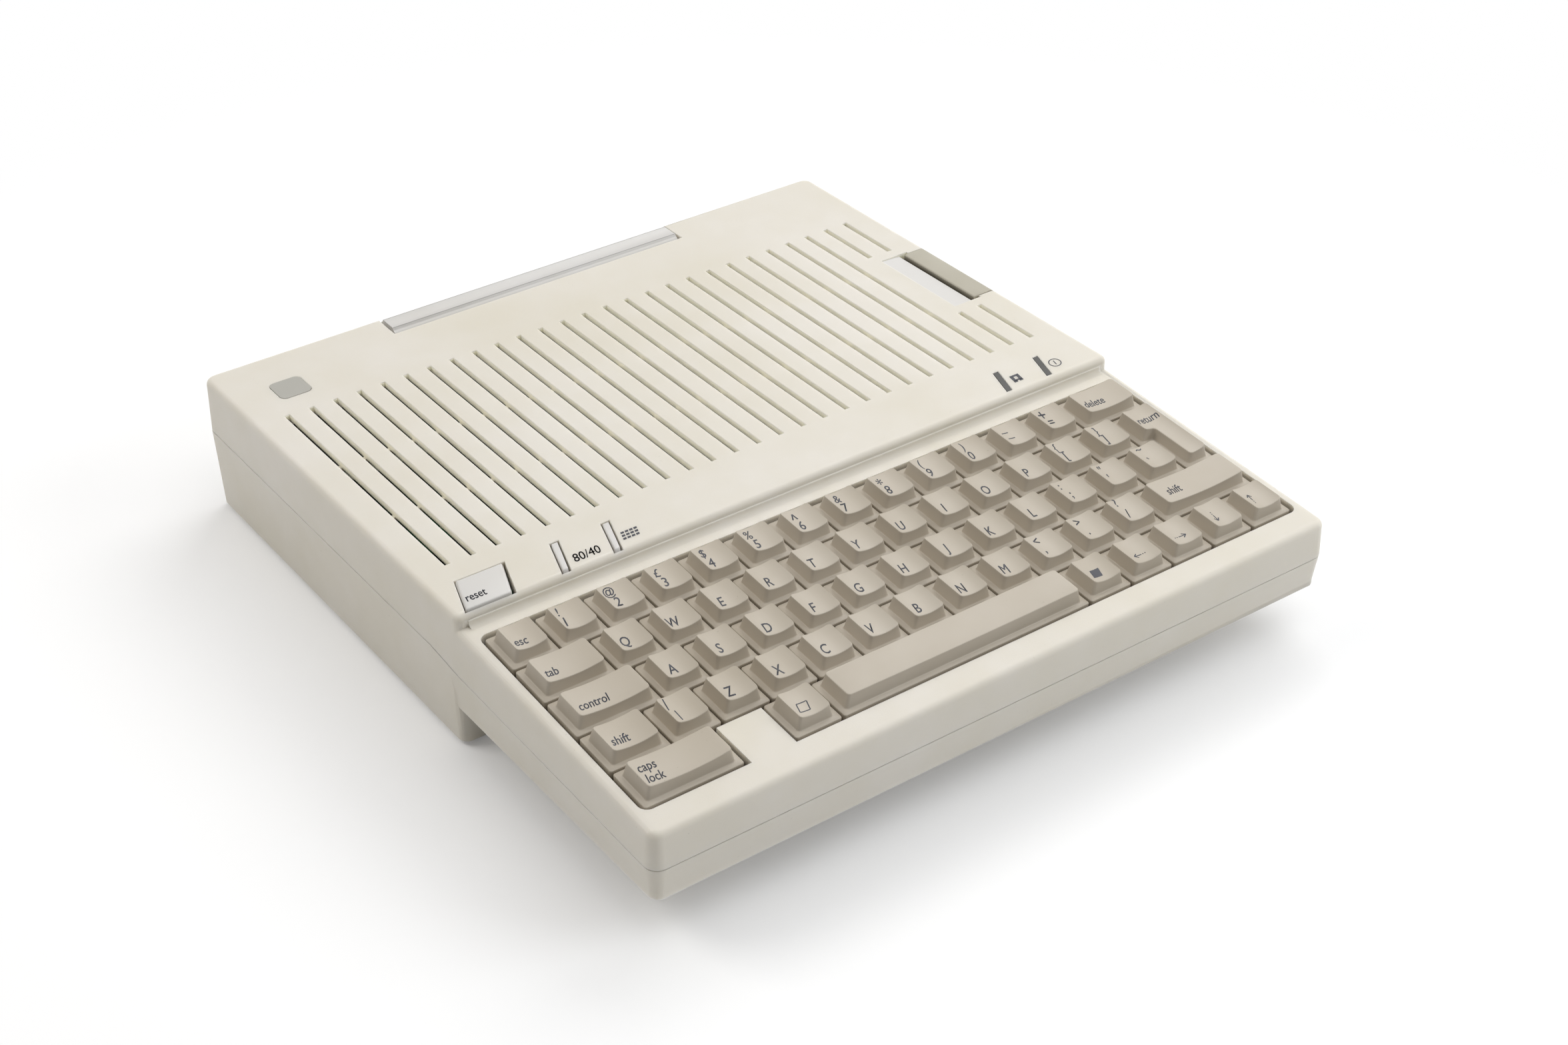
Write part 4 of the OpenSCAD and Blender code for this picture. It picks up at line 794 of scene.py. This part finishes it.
# middle of a sign in its cell: below another, alone, above another, and where it differs
LOWER_PLACE, LONE_PLACE, UPPER_PLACE = (6.5, -12.3), (6.9, -12.0), (6.65, -6.8)
MIDDLE = {
    "1": (5.4, -12.0), "!": (5.8, -6.3), "%": (6.6, -6.7), "|": (5.2, -6.5), "\\": (6.0, -12.6),
    ":": (6.2, -6.3), ";": (6.7, -12.2), '"': (6.8, -4.9), "'": (6.3, -10.3), "~": (7.6, -4.4),
    "`": (6.7, -10.2), "<": (7.3, -6.0), ",": (6.0, -13.2), ">": (7.1, -5.7), ".": (6.7, -13.1),
    "?": (7.1, -4.7), "/": (6.6, -11.7), "-": (6.8, -12.0), "_": (6.6, -8.3), "=": (6.8, -12.0),
}


def key_print(column):
    """Print of one column of ordinary keys."""
    ink = bmesh.new()
    height = hollow_at(1, HOLLOW)
    for row, signs in enumerate(ROWS):
        if column >= len(signs):
            continue
        low = signs[column]
        high = UPPER.get(low)
        usual = LOWER_PLACE if high else LONE_PLACE
        marks = [sign(low, *MIDDLE.get(low, usual), LOWER_SIGN)]
        if high:
            marks.append(sign(high, *MIDDLE.get(high, UPPER_PLACE), UPPER_SIGN))
        for mark in marks:
            wrap(mark, 0, 0, height)
            mark.transform(cell_place(ROW_START[row] + column, row))
            join(ink, mark)
    return ink


for i in range(COLUMNS):
    node = f"keys_column_{i + 1}"
    piece(node + "_print", key_print(i), "ink", node, smooth=20)

# words on keys: text, start of the baseline in the cell, height of a capital
WORDS = {
    "key_esc": [("esc", 4.3, -13.9, 3.85)],
    "key_tab": [("tab", 4.6, -13.4, 3.85)],
    "key_control": [("control", 4.9, -13.6, 3.74)],
    "key_left_shift": [("shift", 4.7, -13.6, 3.85)],
    "key_caps_lock": [("caps", 4.5, -9.2, 3.85), ("lock", 4.4, -14.5, 3.85)],
    "key_delete": [("delete", 4.2, -13.0, 3.85)],
    "key_return": [("return", 4.2, -12.4, 3.85)],
    "key_right_shift": [("shift", 7.1, -12.1, 3.85)],
}


def arrow(x, y, dx, dy):
    """Lines and their thickness, for an arrow about x, y: two dots, a dash and a head."""
    half = 2.6

    def at(along, across=0.0):
        px, py = along * dx - across * dy, along * dy + across * dx
        return x + px + py * SLANT * 0.5, y + py
    parts = [(-half, -half + 0.45), (-half + 0.95, -half + 1.4), (-half + 1.9, half)]
    lines = [at(a) + at(b) for a, b in parts]
    lines += [at(half) + at(half - 1.5, 1.05), at(half) + at(half - 1.5, -1.05)]
    return lines, LINE


def slanted_square(x, y, size, hollow):
    """Lines and their thickness, for a square outline or for a square filled by nine bars."""
    s = size / 2
    signs = ((-1, -1), (1, -1), (1, 1), (-1, 1))
    corner = [(x + a * s + b * s * SLANT, y + b * s) for a, b in signs]
    if hollow:
        return [corner[k] + corner[(k + 1) % 4] for k in range(4)], LINE
    levels = [y - s + size * (k + 0.5) / 9 for k in range(9)]
    return [(x - s - (y - level) * SLANT, level, x + s - (y - level) * SLANT, level)
            for level in levels], size / 8.5


MARKS = {
    "key_left_arrow": arrow(8.4, -12.2, -1, 0), "key_right_arrow": arrow(8.3, -12.2, 1, 0),
    "key_down_arrow": arrow(7.3, -10.4, 0, -1), "key_up_arrow": arrow(6.5, -10.3, 0, 1),
    "key_open_marker": slanted_square(7.9, -11.6, 4.0, True),
    "key_solid_marker": slanted_square(7.9, -11.6, 4.0, False),
}

for key, (column, row, width, hollow) in SINGLE_KEYS.items():
    height = hollow_at(width, hollow)
    marks = [wrap(letters(text, tall, NARROW_WORD), x, y, height)
             for text, x, y, tall in WORDS.get(key, [])]
    if key in MARKS:
        marks.append(wrap(strokes(*MARKS[key]), 0, 0, height, FINE_BENDS))
    if marks:
        ink = bmesh.new()
        for mark in marks:
            mark.transform(cell_place(column, row))
            join(ink, mark)
        piece(key + "_print", ink, "ink", key, smooth=20)

# ---------------------------------------------------------------- buttons and print on the deck
# ends of the buttons' openings in the deck and of the buttons in them, and the buttons' underside
OPENING_REAR, OPENING_FRONT = -19.7, -37.4
BUTTON_REAR, BUTTON_FRONT, BUTTON_FOOT = OPENING_REAR - 0.35, OPENING_FRONT + 0.45, DECK_Z - 6.0
# the square foot of a button, in the surround's frame: its place along Y, its ends, its side
POST_Y, POST_LOW, POST_HIGH, POST = 10.47, STEM_FOOT - 1.5, -1.2, 3.6
# height of the reset key's top over the deck, at its rear and its front
RESET_RISE = (0.05, 0.58)
POWER_SIGN = (123.9, -30.1)


def on_deck(bm, x, y):
    """Moves print to x, y on the deck."""
    return wrap(bm, x, y, lambda _: DECK_Z, NO_BENDS)


def rise_at(y, rise_rear, rise_front):
    """Height of a button's top at a depth."""
    share = (BUTTON_REAR - y) / (BUTTON_REAR - BUTTON_FRONT)
    return DECK_Z + rise_rear + (rise_front - rise_rear) * share


def button_cap(x, width, left, right_rear, right_front, rise_rear, rise_front, post_x):
    """Slanted button whose top rises to the front, with its square foot.

    x and width are those of its opening; left, right_rear and right_front are the gaps there.
    """
    bm = bmesh.new()
    rear, front = BUTTON_REAR, BUTTON_FRONT
    corner, rim, taper = (0.9, 0.5, 0.985) if width > 10 else (0.45, 0.35, 0.93)

    def edge(y, gap, side):
        """Place of the left or right side at a depth, its gap away from the opening's side."""
        return x + (width if side else 0) + gap * (-1 if side else 1) - (OPENING_REAR - y) * SLANT
    low = [(edge(rear, left, 0), rear), (edge(front, left, 0), front),
           (edge(front, right_front, 1), front), (edge(rear, right_rear, 1), rear)]
    middle = Vector((sum(p[0] for p in low) / 4, sum(p[1] for p in low) / 4))
    rings = []
    for z, shrink in ((BUTTON_FOOT, 1.0), (DECK_Z - 0.5, 1.0), (None, taper)):
        ring = []
        for px, py in low:
            top = rise_at(py, rise_rear, rise_front)
            p = middle + (Vector((px, py)) - middle) * shrink
            ring.append(bm.verts.new((p.x, p.y, z if z is not None else top)))
        rings.append(ring)
    bm.faces.new(list(reversed(rings[0])))
    bm.faces.new(rings[-1])
    for a, b in zip(rings, rings[1:]):
        bridge(bm, a, b)
    bm.normal_update()
    uprights = [e for e in bm.edges if abs(e.verts[0].co.z - e.verts[1].co.z) > 0.4
                and len(e.link_faces) == 2 and e.calc_face_angle(0) > 0.8]
    bmesh.ops.bevel(bm, geom=uprights, offset=corner, offset_type="OFFSET", segments=4,
                    profile=0.5, affect="EDGES")
    below_rim = DECK_Z + 0.02 + min(rise_rear, 0)
    upper = [e for e in bm.edges if all(v.co.z > below_rim for v in e.verts)
             and e.calc_face_angle(0) > 0.6]
    bmesh.ops.bevel(bm, geom=upper, offset=rim, offset_type="OFFSET", segments=3,
                    profile=0.5, affect="EDGES")
    post = Matrix.Translation((post_x, POST_Y, (POST_LOW + POST_HIGH) / 2))
    block(bm, on_surround @ post, (POST, POST, POST_HIGH - POST_LOW))
    return bm


piece("reset_key_cap", button_cap(-133.3, 19.8, 0.45, 0.95, 1.6, *RESET_RISE, -126.34),
      "white_plastic", "reset_key", ["reset_key"], smooth=50)
for node, x in (("column_switch", -95.8), ("keyboard_switch", -75.0)):
    piece(node + "_cap", button_cap(x, 3.8, 0.6, 0.55, 0.95, -0.15, 0.55, x - 1.04),
          "white_plastic", node, [node], smooth=50)

reset_print = wrap(letters("reset", 4.1, 0.63), -136.0, -33.3, lambda _: 0, NO_BENDS)
for v in reset_print.verts:
    v.co.z += rise_at(v.co.y, *RESET_RISE)
piece("reset_key_print", reset_print, "ink", "reset_key", smooth=20)


def ring_print(radius, thick):
    """Slightly slanted ring of print."""
    bm = bmesh.new()
    turns = [2 * math.pi * k / 40 for k in range(40)]
    loops = []
    for r in (radius - thick / 2, radius + thick / 2):
        for z in (-INK_SINK, INK_LIFT):
            loops.append([bm.verts.new((r * math.cos(a) + r * math.sin(a) * SLANT * 0.4,
                                        r * math.sin(a), z)) for a in turns])
    inner_low, inner_high, outer_low, outer_high = loops
    for a, b in ((inner_high, inner_low), (outer_low, outer_high), (outer_high, inner_high),
                 (inner_low, outer_low)):
        bridge(bm, a, b)
    bmesh.ops.recalc_face_normals(bm, faces=bm.faces)
    return bm


def key_grid_tree():
    """Grid of small tiles, for the pictogram of a keyboard."""
    tree, given, made = new_tree("key_grid", [
        ("Object", "Tile"), ("Int", "Across"), ("Int", "Down"), ("Float", "Width"),
        ("Float", "Depth"), ("Material", "Finish")])
    grid = tree.nodes.new("GeometryNodeMeshGrid")
    for socket, label in (("Vertices X", "Across"), ("Vertices Y", "Down"),
                          ("Size X", "Width"), ("Size Y", "Depth")):
        tree.links.new(given.outputs[label], grid.inputs[socket])
    tiles = copies(tree, grid.outputs[0], given.outputs["Tile"])
    return coated(tree, tiles, given.outputs["Finish"], made)


def keyboard_pictogram():
    """Keyboard: four by three small keys."""
    one = shown("tile", as_mesh("tile", strokes([(-0.66, 0, 0.66, 0)], 1.04)))
    grid = grow(key_grid_tree(), {"Tile": one, "Across": 4, "Down": 3, "Width": 5.3,
                                  "Depth": 3.5, "Finish": FINISH["ink"]})
    bpy.data.objects.remove(one)
    bm = bmesh.new()
    bm.from_mesh(grid)
    for v in bm.verts:
        v.co.x += v.co.y * SLANT
    return bm


def disk_pictogram():
    """Plain disk: a square with a hole in the middle and a small slot at its front."""
    a, b = 2.1, 2.2
    bm = strokes([(-a, b - 0.55, a, b - 0.55), (-a, 0.35 - b, -0.45, 0.35 - b),
                  (0.45, 0.35 - b, a, 0.35 - b)], 1.1)
    for line, thick in (((-a, -0.2, -0.75, -0.2), 2.9), ((0.75, -0.2, a, -0.2), 2.9),
                        ((-0.8, -1.2, 0.8, -1.2), 0.9)):
        join(bm, strokes([line], thick))
    for v in bm.verts:
        v.co.x += v.co.y * SLANT * 0.6
    return bm


deck_ink = on_deck(letters("80/40", 4.4, NARROW, 0.02), -94.6, -34.5)
join(deck_ink, on_deck(keyboard_pictogram(), -70.0, -30.8))
join(deck_ink, on_deck(disk_pictogram(), 104.6, -30.1))
join(deck_ink, on_deck(ring_print(2.5, LINE), *POWER_SIGN))
join(deck_ink, on_deck(strokes([(-0.35, -1.3, 0.35, 1.3)], LINE), *POWER_SIGN))
piece("deck_print", deck_ink, "ink", "top_case", smooth=20)


# ---------------------------------------------------------------- case halves and small parts
def near(edge, low, high):
    """True where both ends of an edge lie in a box."""
    return all(low[k] <= v.co[k] <= high[k] for v in edge.verts for k in range(3))


def along_drive(profile, half):
    """Closed bar with an outline of x and height over the deck, half millimetres each way."""
    bm = bmesh.new()
    ends = [[bm.verts.new((x, y, DECK_Z + z)) for x, z in profile]
            for y in (DRIVE_Y - half, DRIVE_Y + half)]
    n = len(profile)
    bm.faces.new(ends[0])
    bm.faces.new(list(reversed(ends[1])))
    for k in range(n):
        bm.faces.new((ends[0][(k + 1) % n], ends[0][k], ends[1][k], ends[1][(k + 1) % n]))
    bmesh.ops.recalc_face_normals(bm, faces=bm.faces)
    return bm


def recess_floor():
    """Shallow dish of the finger recess, ending beside the edge of the latch door."""
    profile = [(121.9, -0.45), (124.5, -0.62), (128.0, -0.72), (130.4, -0.85), (131.1, -1.1),
               (131.1, -1.5), (130.3, -2.5), (129.6, -3.7), (128.7, -3.7), (124.7, -1.5),
               (121.9, -0.7)]
    return along_drive(profile, 23.35)


# roundness of the rims of the deck's openings, the latch door and the handle
DECK_RIM, DOOR_RIM, BAR_RIM = 0.35, 0.45, 0.55
# boxes round the edges at deck level that get those rims, and the rise of the handle's top
DECK_BOX = ((-143, -150, DECK_Z - 0.05), (143, 152, 60))
DOOR_BOX = ((130, 0, DECK_Z - 0.05), (150, 100, 60))
BAR_RISE = 0.9

shell = merged("top_case")
soften(shell, DECK_RIM, lambda e: near(e, *DECK_BOX))
piece("top_case_shell", shell, "case_plastic", "top_case", ["top_case"], smooth=35, weighted=True)
piece("finger_recess_floor", recess_floor(), "white_plastic", "top_case")

piece("bottom_case_shell", merged("bottom_case"), "case_plastic", "bottom_case", ["bottom_case"],
      smooth=35, weighted=True)

door = merged("drive_latch")
soften(door, DOOR_RIM, lambda e: near(e, *DOOR_BOX) and e.calc_length() > 1.0)
inner_apron = [(132.8, -2.2), (132.8, -5.4), (133.9, -5.4), (133.9, -2.2)]
join(door, along_drive(inner_apron, 21.5))
piece("drive_latch_door", door, "latch_plastic", "drive_latch", ["drive_latch"], smooth=50)

bar = merged("handle")
for v in bar.verts:
    if v.co.z > DECK_Z - 0.45:
        v.co.z += BAR_RISE
soften(bar, BAR_RIM, lambda e: all(v.co.z > DECK_Z - 3 for v in e.verts) and e.calc_length() > 1.0)
piece("handle_bar", bar, "white_plastic", "handle", ["handle"], smooth=50)

for row in frame["record"]["subparts"]:
    for place in frame["nodes"][row["node"]].material_slots:
        place.material = FINISH[row["material_slot"]]
